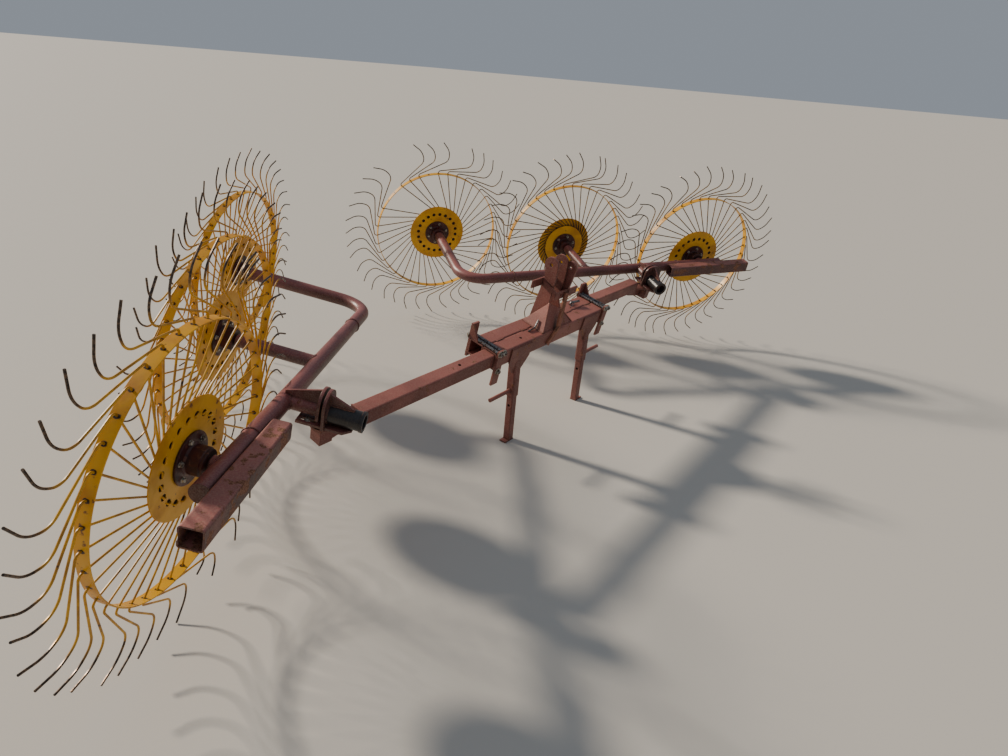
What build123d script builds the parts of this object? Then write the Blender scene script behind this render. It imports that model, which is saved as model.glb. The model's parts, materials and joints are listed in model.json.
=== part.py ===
import math
import os

from build123d import *

# Six-wheel finger wheel rake, mounted on a tractor's three-point linkage.
# X is the machine's right, Y its direction of travel, Z is up. Millimetres.

# Stance. The beam leans forward on its two stands and the wheels share the lean.
BEAM_PITCH = 11.5
WING_YAW = 31.5
CENTRE_SHIFT_X = -130.0
CENTRE_SHIFT_Y = 726.955

# Wheels
TINE_COUNT = 40
TIP_RADIUS = 700.0
HOOP_RADIUS = 450.0
HOOP_WIDTH = 40.0
HOOP_THICK = 4.0
WIRE = 7.0
SPOKE_TANGENT_RADIUS = 120.0
SPOKE_START_RADIUS = 135.0
NECK_RADIUS = 470.0
HOOK_RADIUS = 573.0
HOOK_LAG = 26.5
HOOK_CUT = 45.0
TIP_LAG = 16.3
LARGE_PLATE_RADIUS = 205.0
PLATE_HOLES = 20
PLATE_HOLE_RADIUS = 12.0
PLATE_HOLE_CIRCLE = 145.0
SMALL_PLATE_RADIUS = 150.0
PLATE_THICK = 4.0
HUB_RADIUS = 50.0
HUB_FRONT = 72.0
HUB_BACK = -25.0
FLANGE_RADIUS = 90.0
FLANGE_THICK = 8.0
AXLE_RADIUS = 17.5
AXLE_CLEARANCE = 0.5

# Wings
STEP_ALONG = 895.0
STEP_BACK = 381.0
FIRST_HUB_BACK = 246.0
PIPE_BACK = 155.0
PIPE_SKEW = 3.1
PIPE_RISE = 0.0
PIVOT_BEHIND_FRONT_WHEEL = 500.0
PIPE_AHEAD = 150.0
PIPE_RADIUS = 35.0
ARM_PIPE_RADIUS = 30.0
BEND_RADIUS = 180.0
ARM_GAP = 8.0
ARM_LAP = 20.0
AXLE_PAST_HUB = 10.0
NUT_GAP = 6.0
NUT_RADIUS = 26.0
NUT_LENGTH = 16.0
STUB_SIZE = 74.0
STUB_WALL = 5.0
STUB_CORNER = 10.0
STUB_AHEAD = 335.0
STUB_BEHIND = 290.0
STUB_SEAT = 4.0

# Knuckles
PIVOT_UP = 50.0
PIN_TO_ARM = 45.0
SLEEVE_RADIUS = 40.0
SLEEVE_LIP = 3.0
LIP_LENGTH = 12.0
SHAFT_RADIUS = 28.0
SHAFT_SHORTER = 35.0
SLEEVE_CLEARANCE = 0.5
SLEEVE_FRONT = 165.0
CHEEK_HALF = 60.0
CHEEK_TOP = 100.0
CHEEK_THICK = 12.0
CHEEK_Y = 13.0
CHEEK_SPACE = 11.0
PIVOT_CHEEK_BOTTOM = -18.0
WEB_BELOW_CHEEK_TOP = 10.0
KNUCKLE_WEB_THICK = 10.0
KNUCKLE_WEB_SHORTER = 30.0
KNUCKLE_WEB_SUNK = 12.0
KNUCKLE_WEB_TIP = 6.0
PIVOT_WEB_THICK = 12.0
PIVOT_WEB_FOOT = 20.0
PIVOT_WEB_TAIL = 12.0
SLEEVE_SEAT = 2.0
BASE_THICK = 12.0
BASE_HALF = 50.0
BASE_FRONT = 125.0
BASE_BEVEL = 30.0
TONGUE_BACK = 90.0
SLOT_WIDTH = 16.0
SLOT_LENGTH = 64.0
SLOT_TO_END = 12.0
SLOT_TO_SIDE = 22.0
PIN_RADIUS = 15.0
PIN_CLEARANCE = 0.5
PIN_SHORTER = 4.0
BASE_GAP = 8.0
BOSS_RADIUS = 32.0
POST_SIZE = 60.0
POST_LENGTH = 75.0
ARM_PLATE_RADIUS = 48.0
ARM_PLATE_THICK = 12.0
ARM_CAP_THICK = 5.0
ARM_PLATE_LAP = 40.0
ARM_WEB_THICK = 10.0
ARM_WEB_SHARE = 0.45
ARM_WEB_LAP = 80.0
ARM_WEB_TAIL = 12.0
ARM_WEB_TO_PIN = 25.0
ARM_WEB_SHORTER = 5.0

# Beam and arms
BEAM_TUBE = 90.0
BEAM_WALL = 8.0
BEAM_CORNER = 9.0
BEAM_RIGHT_END = 550.0
BEAM_LEFT_END = 510.0
BEAM_HOLE_X = 300.0
PEG_HOLE_RADIUS = 8.0
CLAMP_WIDTH = 50.0
CLAMP_THICK = 12.0
CLAMP_FRONT_UP = 65.0
CLAMP_FRONT_DOWN = 135.0
CLAMP_REAR_UP = 125.0
CLAMP_REAR_DOWN = 65.0
CLAMP_EAR_THICK = 10.0
CLAMP_EAR_REACH = 55.0
CLAMP_EAR_RISE = 78.0
CLAMP_ROD_RADIUS = 8.0
CLAMP_ROD_PAST = 16.0
CLAMP_ROD_APART = 28.0
ARM_TUBE = 73.0
ARM_WALL = 5.0
ARM_CORNER = 7.0
ARM_HOLE_TO_END = 600.0
ARM_INNER_END = 100.0
RIGHT_PIVOT_X = 1500.0
LEFT_PIVOT_X = 1240.0
ARM_END_TO_PIN = 132.0

# Mast, stands and linkage pins
MAST_PLATE_X = 45.0
MAST_PLATE_THICK = 12.0
TOP_HOLE_Z = 373.0
TOP_HOLE_Y = -46.0
TOP_HOLE_RADIUS = 10.0
MAST_HEAD_RADIUS = 43.0
MAST_FRONT_SWELL = 7.0
MAST_FRONT_DROP = 70.0
MAST_BACK_STEP = 22.0
MAST_BACK_DROP = 75.0
MAST_WAIST_STEP = 16.0
MAST_WAIST_DROP = 145.0
GUSSET_THICK = 8.0
GUSSET_FRONT = 81.0
GUSSET_SLOPE = 29.0
GUSSET_SEAT = 5.0
GUSSET_SIDE_BACK = -77.0
GUSSET_FOOT_TAPER = 15.0
RIGHT_GUSSET_FOOT = 150.0
RIGHT_GUSSET_RISE = 129.0
LEFT_GUSSET_FOOT = 130.0
LEFT_GUSSET_RISE = 78.0
BRACKET_THICK = 8.0
BRACKET_DEPTH = 45.0
BRACKET_TOP = 290.0
BRACKET_REACH = 95.0
BAND_DEPTH = 22.0
BAND_INSET = 20.0
BAND_FALL = 42.0
BAND_FRONT = 38.0
FRONT_BAR_LEFT = -150.0
FRONT_BAR_HOLES = (-118.0, 10.0)
FRONT_BAR_HOLE_RADIUS = 6.0
HEAD_PLATE_THICK = 14.0
HEAD_PLATE_Y = 13.0
HEAD_PLATE_Z = 365.0
HEAD_PLATE_RADIUS = 36.0
HEAD_PLATE_TAPER = 15.0
STRAP_WIDTH = 30.0
STRAP_THICK = 12.0
STRAP_TOP_X = -36.0
STRAP_BEND_X = 36.0
STRAP_BEND_Z = 52.0
STRAP_BEND_OUT = 1.0
STRAP_END_X = 98.0
STRAP_END_Z = -30.0
LEG_X = 341.5
LEG_Y = 60.0
SOCKET_SIZE = 52.0
SOCKET_WALL = 5.0
SOCKET_BOTTOM = 280.0
SOCKET_TOP_DROP = 20.0
FACE_PLATE_THICK = 8.0
FACE_PLATE_HALF = 85.0
FACE_PLATE_TOP = 35.0
FACE_PLATE_FOOT_HALF = 32.0
FACE_PLATE_BOTTOM = -125.0
LINK_PIN_Z = 315.0
LINK_PIN_RADIUS = 11.0
LINK_PIN_LENGTH = 165.0
LINK_PIN_SEAT = 1.0
STAND_SIZE = 41.0
STAND_WALL = 4.0
STAND_CORNER = 5.0
STAND_TOP = 365.0
STAND_HOLE_Z = 220.0
FOOT_REACH = 28.0
FOOT_THICK = 8.0

# How far a cutting shape reaches past the face that it cuts through.
CUT_PAST = 5.0

os.makedirs("parts", exist_ok=True)


def sin_deg(angle):
    return math.sin(math.radians(angle))


def cos_deg(angle):
    return math.cos(math.radians(angle))


# The pipe's slope in the wing that keeps the three hubs of a wing level.
axle_fall = cos_deg(WING_YAW) * sin_deg(BEAM_PITCH)
pipe_fall = STEP_BACK / STEP_ALONG * axle_fall
lean_rise = sin_deg(BEAM_PITCH) * sin_deg(WING_YAW)
lean_length = math.hypot(lean_rise, cos_deg(BEAM_PITCH))
lean_phase = math.degrees(math.atan2(lean_rise, cos_deg(BEAM_PITCH)))
WING_SEESAW = -math.degrees(math.asin(pipe_fall / lean_length)) - lean_phase

# Each hub's place in its wing: X along the pipe, Y along the axles.
HUB_PLACES = []
for place in range(3):
    hub_x = PIVOT_BEHIND_FRONT_WHEEL - place * STEP_ALONG
    hub_y = -FIRST_HUB_BACK - place * STEP_BACK
    HUB_PLACES.append((hub_x, hub_y))


def wheel_point(radius, angle):
    return Vector(radius * cos_deg(angle), radius * sin_deg(angle))


def turn_to_radius(radius):
    """Angle along a spoke's line from its nearest point to the hub out to a radius."""
    return math.degrees(math.acos(SPOKE_TANGENT_RADIUS / radius))


def tine_line(hoop_angle):
    """Corners of one tine's centre line: spoke, neck outside the hoop, leg, hook and tip."""
    spoke_foot = hoop_angle - turn_to_radius(HOOP_RADIUS)
    neck = wheel_point(NECK_RADIUS, spoke_foot + turn_to_radius(NECK_RADIUS))
    corner = wheel_point(HOOK_RADIUS, hoop_angle - HOOK_LAG)
    tip = wheel_point(TIP_RADIUS, hoop_angle - TIP_LAG)
    return [
        wheel_point(SPOKE_START_RADIUS, spoke_foot + turn_to_radius(SPOKE_START_RADIUS)),
        neck,
        corner + (neck - corner).normalized() * HOOK_CUT,
        corner + (tip - corner).normalized() * HOOK_CUT,
        tip,
    ]


def tine_outline(hoop_angle):
    """Closed outline of one tine, the wire's width about its centre line."""
    centre_line = tine_line(hoop_angle)
    left_side = []
    right_side = []
    last = len(centre_line) - 1
    for index, point in enumerate(centre_line):
        before = point - centre_line[max(index - 1, 0)]
        after = centre_line[min(index + 1, last)] - point
        if index == 0:
            before = after
        if index == last:
            after = before
        direction = (before.normalized() + after.normalized()).normalized()
        widening = 1 / direction.dot(before.normalized())
        side = Vector(-direction.Y, direction.X) * (WIRE / 2 * widening)
        left_side.append(point + side)
        right_side.append(point - side)
    return left_side + right_side[::-1]


# The beam stands where the lowest tips of all wheels reach the floor.
tilted = Rot(-BEAM_PITCH, 0, 0)
wing_turn = Rot(0, 0, WING_YAW) * Rot(0, WING_SEESAW, 0)
first_hub = Pos(HUB_PLACES[0][0], HUB_PLACES[0][1], PIPE_RISE)
first_hub_up = (tilted * Pos(0, 0, PIVOT_UP) * wing_turn * first_hub).position.Z
hoop_angles = [-90 + TIP_LAG + index * 360 / TINE_COUNT for index in range(TINE_COUNT)]
wire_corners = []
for hoop_angle in hoop_angles:
    for corner in tine_outline(hoop_angle):
        wire_corners.append(tilted * wing_turn * Pos(corner.X, WIRE / 2, corner.Y))
        wire_corners.append(tilted * wing_turn * Pos(corner.X, -WIRE / 2, corner.Y))
HUB_Z = -min(place.position.Z for place in wire_corners)
BEAM_Z = HUB_Z - first_hub_up
FRAME = Pos(0, 0, BEAM_Z) * tilted


def square_tube(size, wall, corner, length):
    """Square tube along Z from the origin, with rounded corners."""
    outer = RectangleRounded(size, size, corner)
    inner = RectangleRounded(size - 2 * wall, size - 2 * wall, max(corner - wall, 1))
    return extrude(outer - inner, length)


def tube_along_x(size, wall, corner, x_from, x_to):
    return Pos(x_from, 0, 0) * Rot(0, 90, 0) * square_tube(size, wall, corner, x_to - x_from)


def cylinder_along_y(radius, y_from, y_to):
    return Pos(0, (y_from + y_to) / 2, 0) * Rot(90, 0, 0) * Cylinder(radius, y_to - y_from)


def plate_facing_y(points, y_from, y_to):
    outline = Polyline(*points, close=True)
    face = make_face(outline)
    return extrude(Plane.XZ.offset(-y_from) * face, -(y_to - y_from))


def plate_facing_x(points, x_from, x_to):
    face = make_face(Polyline(*points, close=True))
    return extrude(Plane.YZ.offset(x_from) * face, x_to - x_from)


def plate_through(points, thick):
    """Flat plate on three or more points; it grows against the outline's normal."""
    corners = [Vector(*point) for point in points]
    normal = (corners[1] - corners[0]).cross(corners[2] - corners[0]).normalized()
    return extrude(make_face(Polyline(*points, close=True)), thick, dir=normal * -1)


def flat_bar(start, end, width, thick):
    """Flat bar between two points, its width as near to level as it can lie."""
    run = Vector(*end) - Vector(*start)
    along = run.normalized()
    across = (Vector(1, 0, 0) - along * along.X).normalized()
    middle = (Vector(*start) + Vector(*end)) / 2
    plane = Plane(origin=middle, x_dir=along, z_dir=along.cross(across))
    return plane * Box(run.length, width, thick)


def export_node(name, shape, mirrored):
    placed = shape
    if mirrored:
        placed = mirror(shape, about=Plane.YZ)
    placed = Pos(CENTRE_SHIFT_X, CENTRE_SHIFT_Y, 0) * placed
    placed.label = name
    export_step(placed, "parts/" + name + ".step")
    NODES[name] = placed


NODES = {}

# Beam tubes: two square tubes side by side, one for each sliding arm.
beam_top = BEAM_TUBE / 2
for name, tube_y in (("beam_front_tube", BEAM_TUBE / 2), ("beam_rear_tube", -BEAM_TUBE / 2)):
    tube = tube_along_x(BEAM_TUBE, BEAM_WALL, BEAM_CORNER, -BEAM_LEFT_END, BEAM_RIGHT_END)
    peg_hole_x = math.copysign(BEAM_HOLE_X, tube_y)
    peg_hole = Pos(peg_hole_x, 0, beam_top) * Cylinder(PEG_HOLE_RADIUS, 3 * BEAM_WALL)
    export_node(name, FRAME * Pos(0, tube_y, 0) * (tube - peg_hole), False)

# Mast plates: two upright plates that lean back to a round head with the top link's hole.
head_rear = TOP_HOLE_Y - MAST_HEAD_RADIUS
head_front = TOP_HOLE_Y + MAST_HEAD_RADIUS
gusset_lean = math.tan(math.radians(GUSSET_SLOPE))
right_gusset_y = GUSSET_FRONT - RIGHT_GUSSET_RISE * gusset_lean
mast_points = [
    (-BEAM_TUBE, beam_top), (GUSSET_FRONT - GUSSET_SEAT, beam_top),
    (right_gusset_y - GUSSET_SEAT, beam_top + RIGHT_GUSSET_RISE),
    (head_front + MAST_FRONT_SWELL, TOP_HOLE_Z - MAST_FRONT_DROP), (head_front, TOP_HOLE_Z),
    (head_rear, TOP_HOLE_Z), (head_rear + MAST_BACK_STEP, TOP_HOLE_Z - MAST_BACK_DROP),
    (head_rear + MAST_WAIST_STEP, TOP_HOLE_Z - MAST_WAIST_DROP),
]
mast_outside = MAST_PLATE_X + MAST_PLATE_THICK / 2
mast_solids = []
for name, plate_x in (("mast_plate_right", MAST_PLATE_X), ("mast_plate_left", -MAST_PLATE_X)):
    plate = plate_facing_x(mast_points, plate_x - MAST_PLATE_THICK / 2, plate_x + MAST_PLATE_THICK / 2)
    hole_place = Pos(plate_x, TOP_HOLE_Y, TOP_HOLE_Z) * Rot(0, 90, 0)
    plate = plate + hole_place * Cylinder(MAST_HEAD_RADIUS, MAST_PLATE_THICK)
    plate = plate - hole_place * Cylinder(TOP_HOLE_RADIUS, 2 * MAST_PLATE_THICK)
    mast_solids.append(plate)
    export_node(name, FRAME * plate, False)

# Mast bracket: a bar behind the plates, a band along the right one, a bar in front of both
# and a third plate with its own holed head outside the left one.
band_rear = head_rear + BAND_INSET
bar_bottom = BRACKET_TOP - BRACKET_DEPTH
bar_right = mast_outside + BRACKET_THICK
front_bar_top = BRACKET_TOP - BAND_FALL
front_bar_bottom = front_bar_top - BRACKET_DEPTH
rear_bar_right = mast_outside + BRACKET_REACH
rear_bar_points = [
    (-MAST_PLATE_X, BRACKET_TOP), (rear_bar_right, BRACKET_TOP),
    (rear_bar_right, bar_bottom), (-MAST_PLATE_X, bar_bottom),
]
rear_bar = plate_facing_y(rear_bar_points, band_rear - BRACKET_THICK, band_rear)
band_points = [
    (band_rear, BRACKET_TOP), (BAND_FRONT, front_bar_top),
    (BAND_FRONT, front_bar_top - BAND_DEPTH), (band_rear, BRACKET_TOP - BAND_DEPTH),
]
band = plate_facing_x(band_points, mast_outside, bar_right)
front_bar_points = [
    (FRONT_BAR_LEFT, front_bar_top), (bar_right, front_bar_top),
    (bar_right, front_bar_bottom), (FRONT_BAR_LEFT, front_bar_bottom),
]
front_bar = plate_facing_y(front_bar_points, BAND_FRONT - BRACKET_THICK, BAND_FRONT)
for hole_x in FRONT_BAR_HOLES:
    hole = cylinder_along_y(FRONT_BAR_HOLE_RADIUS, 0, 2 * BAND_FRONT)
    front_bar = front_bar - Pos(hole_x, 0, front_bar_top - BRACKET_DEPTH / 2) * hole
head_plate_rear = HEAD_PLATE_Y - HEAD_PLATE_RADIUS
head_plate_points = [
    (head_plate_rear, HEAD_PLATE_Z), (HEAD_PLATE_Y + HEAD_PLATE_RADIUS, HEAD_PLATE_Z),
    (BAND_FRONT, front_bar_top), (BAND_FRONT, front_bar_bottom),
    (head_plate_rear + HEAD_PLATE_TAPER, front_bar_bottom),
]
head_plate = plate_facing_x(head_plate_points, -mast_outside - HEAD_PLATE_THICK, -mast_outside)
head_x = -mast_outside - HEAD_PLATE_THICK / 2
head_place = Pos(head_x, HEAD_PLATE_Y, HEAD_PLATE_Z) * Rot(0, 90, 0)
head_plate = head_plate + head_place * Cylinder(HEAD_PLATE_RADIUS, HEAD_PLATE_THICK)
head_plate = head_plate - head_place * Cylinder(TOP_HOLE_RADIUS, 2 * HEAD_PLATE_THICK)
bracket = (rear_bar + band + front_bar + head_plate) - mast_solids
export_node("mast_bracket", FRAME * bracket, False)

# Mast strap: a flat bar from the bracket's front bar down over the beam's front.
strap_y = BEAM_TUBE + STRAP_THICK / 2
strap_top = (STRAP_TOP_X, BAND_FRONT + STRAP_THICK / 2, front_bar_top - BRACKET_DEPTH / 3)
strap_bend = (STRAP_BEND_X, strap_y + STRAP_BEND_OUT, STRAP_BEND_Z)
strap_low = (STRAP_END_X, strap_y, STRAP_END_Z)
strap = flat_bar(strap_top, strap_bend, STRAP_WIDTH, STRAP_THICK)
strap = strap + flat_bar((STRAP_BEND_X, strap_y, STRAP_BEND_Z), strap_low, STRAP_WIDTH, STRAP_THICK)
strap = strap + Pos(*strap_bend) * cylinder_along_y(STRAP_WIDTH / 2, -STRAP_THICK / 2, STRAP_THICK / 2)
export_node("mast_strap", FRAME * (strap - bracket), False)


def mast_gusset(foot_x, rise, middle_rise):
    """Half of the plate that leans on the mast's front, and the triangle beside the mast."""
    top = (mast_outside, GUSSET_FRONT - rise * gusset_lean, beam_top + rise)
    foot_front = (foot_x, GUSSET_FRONT, beam_top)
    foot_back = (foot_x - GUSSET_FOOT_TAPER, GUSSET_SIDE_BACK, beam_top)
    middle_y = GUSSET_FRONT - middle_rise * gusset_lean
    front_points = [(0, GUSSET_FRONT, beam_top), foot_front, top, (0, middle_y, beam_top + middle_rise)]
    front = plate_through(front_points[::-1], GUSSET_THICK)
    side_plate = plate_through([foot_front, foot_back, top][::-1], GUSSET_THICK)
    under_beam_top = Pos(0, 0, beam_top - BEAM_TUBE / 2) * Box(4 * foot_x, 4 * BEAM_TUBE, BEAM_TUBE)
    inside_mast = Pos(0, 0, beam_top + rise) * Box(2 * mast_outside, 4 * BEAM_TUBE, 2 * rise)
    return front + (side_plate - inside_mast) - under_beam_top


# Mast gussets: one on each side of the mast, meeting in the middle of its front.
middle_rise = (RIGHT_GUSSET_RISE + LEFT_GUSSET_RISE) / 2
right_gusset = mast_gusset(RIGHT_GUSSET_FOOT, RIGHT_GUSSET_RISE, middle_rise)
left_gusset = mirror(mast_gusset(LEFT_GUSSET_FOOT, LEFT_GUSSET_RISE, middle_rise), about=Plane.YZ)
export_node("mast_gusset_right", FRAME * (right_gusset - mast_solids), False)
export_node("mast_gusset_left", FRAME * (left_gusset - mast_solids), False)

# Clamps: flat bars on the beam's faces at each end, drawn together by rods.
rod_half = BEAM_TUBE + CLAMP_THICK + CLAMP_ROD_PAST
rod_up = beam_top + CLAMP_ROD_RADIUS


def beam_clamp(beam_end):
    """Front and rear bar with the ear on the rear one, and two rods over and one under the beam."""
    clamp_x = beam_end - CLAMP_WIDTH / 2
    bar_y = BEAM_TUBE + CLAMP_THICK / 2
    front_place = Pos(clamp_x, bar_y, (CLAMP_FRONT_UP - CLAMP_FRONT_DOWN) / 2)
    rear_place = Pos(clamp_x, -bar_y, (CLAMP_REAR_UP - CLAMP_REAR_DOWN) / 2)
    clamp = front_place * Box(CLAMP_WIDTH, CLAMP_THICK, CLAMP_FRONT_UP + CLAMP_FRONT_DOWN)
    clamp = clamp + rear_place * Box(CLAMP_WIDTH, CLAMP_THICK, CLAMP_REAR_UP + CLAMP_REAR_DOWN)
    ear_points = [
        (-BEAM_TUBE, beam_top), (CLAMP_EAR_REACH - BEAM_TUBE, beam_top),
        (-BEAM_TUBE, beam_top + CLAMP_EAR_RISE),
    ]
    clamp = clamp + plate_facing_x(ear_points, beam_end - CLAMP_EAR_THICK, beam_end)
    rod = cylinder_along_y(CLAMP_ROD_RADIUS, -rod_half, rod_half)
    for rod_x in (clamp_x - CLAMP_ROD_APART / 2, clamp_x + CLAMP_ROD_APART / 2):
        clamp = clamp + Pos(rod_x, 0, rod_up) * rod
    return clamp + Pos(clamp_x, 0, -rod_up) * rod


export_node("clamp_right", FRAME * beam_clamp(BEAM_RIGHT_END), False)
export_node("clamp_left", FRAME * beam_clamp(BEAM_LEFT_END), True)

# Stand sockets: upright tubes under the beam's front tube, with the lower link pins.
socket_top = BEAM_Z - SOCKET_TOP_DROP
socket_height = socket_top - SOCKET_BOTTOM
socket_bore = SOCKET_SIZE - 2 * SOCKET_WALL
socket = square_tube(SOCKET_SIZE, SOCKET_WALL, STAND_CORNER + SOCKET_WALL, socket_height)
socket = Pos(LEG_X, LEG_Y, SOCKET_BOTTOM) * socket
beam_block = FRAME * Pos(LEG_X, 0, BEAM_TUBE / 2) * Box(2 * BEAM_TUBE, 2 * BEAM_TUBE, 2 * BEAM_TUBE)
face_points = [
    (-FACE_PLATE_HALF, FACE_PLATE_TOP), (FACE_PLATE_HALF, FACE_PLATE_TOP),
    (FACE_PLATE_HALF, -BEAM_TUBE / 2), (FACE_PLATE_FOOT_HALF, FACE_PLATE_BOTTOM),
    (-FACE_PLATE_FOOT_HALF, FACE_PLATE_BOTTOM), (-FACE_PLATE_HALF, -BEAM_TUBE / 2),
]
face_plate = plate_facing_y(face_points, BEAM_TUBE, BEAM_TUBE + FACE_PLATE_THICK)
face_plate = FRAME * Pos(LEG_X, 0, 0) * face_plate
core_middle = (BEAM_Z + SOCKET_BOTTOM) / 2
core = Pos(LEG_X, LEG_Y, core_middle) * Box(socket_bore, socket_bore, BEAM_Z - SOCKET_BOTTOM)
pin_start = LEG_X + SOCKET_SIZE / 2 - LINK_PIN_SEAT
link_pin = Pos(pin_start + LINK_PIN_LENGTH / 2, LEG_Y, LINK_PIN_Z) * Rot(0, 90, 0)
link_pin = link_pin * Cylinder(LINK_PIN_RADIUS, LINK_PIN_LENGTH)
socket = (socket - beam_block) + (face_plate - core) + link_pin
export_node("stand_socket_right", socket, False)
export_node("stand_socket_left", socket, True)

# Stands: square tubes in the sockets, down to the ground on a small foot plate.
stand = Pos(LEG_X, LEG_Y, 0) * square_tube(STAND_SIZE, STAND_WALL, STAND_CORNER, STAND_TOP)
foot_width = STAND_SIZE + FOOT_REACH
foot = Pos(LEG_X + FOOT_REACH / 2, LEG_Y, FOOT_THICK / 2) * Box(foot_width, STAND_SIZE, FOOT_THICK)
pin_hole = Pos(LEG_X, LEG_Y, STAND_HOLE_Z) * Rot(0, 90, 0) * Cylinder(PEG_HOLE_RADIUS, 2 * STAND_SIZE)
stand = (stand - pin_hole) + foot
export_node("stand_right", stand, False)
export_node("stand_left", stand, True)


def sliding_arm(pivot_x, arm_y, pin_y):
    """Square tube with the plate, the post and the pin that carry the knuckle."""
    end_x = pivot_x - ARM_END_TO_PIN
    tube = tube_along_x(ARM_TUBE, ARM_WALL, ARM_CORNER, ARM_INNER_END, end_x)
    peg_hole = Pos(end_x - ARM_HOLE_TO_END, 0, ARM_TUBE / 2) * Cylinder(PEG_HOLE_RADIUS, 3 * ARM_WALL)
    tube = Pos(0, arm_y, 0) * (tube - peg_hole)
    base_bottom = PIVOT_UP - SLEEVE_RADIUS - BASE_THICK + SLEEVE_SEAT
    plate_top = base_bottom - BASE_GAP
    plate_bottom = plate_top - ARM_PLATE_THICK
    half = ARM_TUBE / 2
    plate_points = [
        (end_x - ARM_PLATE_LAP, arm_y - half), (end_x - ARM_PLATE_LAP, arm_y + half),
        (end_x, arm_y + half),
        (pivot_x, pin_y + ARM_PLATE_RADIUS), (pivot_x, pin_y - ARM_PLATE_RADIUS), (end_x, arm_y - half),
    ]
    plate_face = make_face(Polyline(*plate_points, close=True))
    plate = extrude(Pos(0, 0, plate_bottom) * plate_face, ARM_PLATE_THICK)
    disc = Pos(pivot_x, pin_y, (plate_bottom + plate_top) / 2) * Cylinder(ARM_PLATE_RADIUS, ARM_PLATE_THICK)
    cap = Pos(end_x + ARM_CAP_THICK / 2, arm_y, 0) * Box(ARM_CAP_THICK, ARM_TUBE, ARM_TUBE)
    web_y = arm_y * ARM_WEB_SHARE
    web_front = pivot_x - ARM_WEB_TO_PIN
    web_points = [
        (end_x - ARM_WEB_LAP, -half), (end_x, -half), (end_x, plate_bottom), (web_front, plate_bottom),
        (web_front, plate_bottom - POST_LENGTH + ARM_WEB_SHORTER),
        (end_x - ARM_WEB_LAP, -half - ARM_WEB_TAIL),
    ]
    web = plate_facing_y(web_points, web_y - ARM_WEB_THICK / 2, web_y + ARM_WEB_THICK / 2)
    post = Pos(pivot_x, pin_y, plate_bottom - POST_LENGTH / 2) * Box(POST_SIZE, POST_SIZE, POST_LENGTH)
    boss = Pos(pivot_x, pin_y, (plate_top + base_bottom) / 2) * Cylinder(BOSS_RADIUS, BASE_GAP)
    pin_top = base_bottom + BASE_THICK - PIN_SHORTER
    pin = Pos(pivot_x, pin_y, (plate_bottom + pin_top) / 2) * Cylinder(PIN_RADIUS, pin_top - plate_bottom)
    return tube + plate + disc + cap + web + post + boss + pin


def round_topped_cheek(bottom, y_from, y_to):
    """Upright plate round the knuckle's axis with an arched top."""
    arch_z = CHEEK_TOP - CHEEK_HALF
    sides = [(-CHEEK_HALF, bottom), (CHEEK_HALF, bottom), (CHEEK_HALF, arch_z), (-CHEEK_HALF, arch_z)]
    arch = Pos(0, 0, arch_z) * cylinder_along_y(CHEEK_HALF, y_from, y_to)
    return plate_facing_y(sides, y_from, y_to) + arch


def knuckle_sleeve():
    """Sleeve in which the wing's shaft turns, with a lip at its front end."""
    sleeve = cylinder_along_y(SLEEVE_RADIUS, CHEEK_Y, SLEEVE_FRONT)
    lip = cylinder_along_y(SLEEVE_RADIUS + SLEEVE_LIP, SLEEVE_FRONT - LIP_LENGTH, SLEEVE_FRONT)
    return sleeve + lip - cylinder_along_y(SHAFT_RADIUS + SLEEVE_CLEARANCE, 0, SLEEVE_FRONT + CUT_PAST)


def knuckle_plates():
    """Cheek round the sleeve and a web, on a slotted base plate that turns on the arm's pin."""
    cheek_front = CHEEK_Y + CHEEK_THICK
    base_bottom = -SLEEVE_RADIUS - BASE_THICK + SLEEVE_SEAT
    cheek = round_topped_cheek(base_bottom, CHEEK_Y, cheek_front)
    web_front = SLEEVE_FRONT - LIP_LENGTH - KNUCKLE_WEB_SHORTER
    web_foot = SLEEVE_RADIUS - KNUCKLE_WEB_SUNK
    web_points = [
        (cheek_front, web_foot), (web_front, web_foot), (web_front, SLEEVE_RADIUS + KNUCKLE_WEB_TIP),
        (cheek_front, CHEEK_TOP - WEB_BELOW_CHEEK_TOP),
    ]
    web = plate_facing_x(web_points, -KNUCKLE_WEB_THICK / 2, KNUCKLE_WEB_THICK / 2)
    bevel_y = BASE_FRONT - BASE_BEVEL
    bevel_x = BASE_HALF - BASE_BEVEL
    base_points = [
        (BASE_HALF, -TONGUE_BACK), (BASE_HALF, bevel_y), (bevel_x, BASE_FRONT),
        (-bevel_x, BASE_FRONT), (-BASE_HALF, bevel_y), (-BASE_HALF, -TONGUE_BACK),
    ]
    base_face = make_face(Polyline(*base_points, close=True))
    base = extrude(Pos(0, 0, base_bottom) * base_face, BASE_THICK)
    base_middle = base_bottom + BASE_THICK / 2
    slot_y = -TONGUE_BACK + SLOT_TO_END + SLOT_LENGTH / 2
    slot = Pos(BASE_HALF - SLOT_TO_SIDE, slot_y, base_middle) * Box(SLOT_WIDTH, SLOT_LENGTH, 2 * BASE_THICK)
    pin_bore = Pos(0, 0, base_middle) * Cylinder(PIN_RADIUS + PIN_CLEARANCE, 2 * BASE_THICK)
    sleeve_bore = cylinder_along_y(SLEEVE_RADIUS, 0, SLEEVE_FRONT + CUT_PAST)
    return cheek + web + base - slot - pin_bore - sleeve_bore


def pipe_y(x):
    """The long pipe's Y in the wing at a place along the wheels' line."""
    return -PIPE_BACK + x * math.tan(math.radians(PIPE_SKEW))


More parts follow.
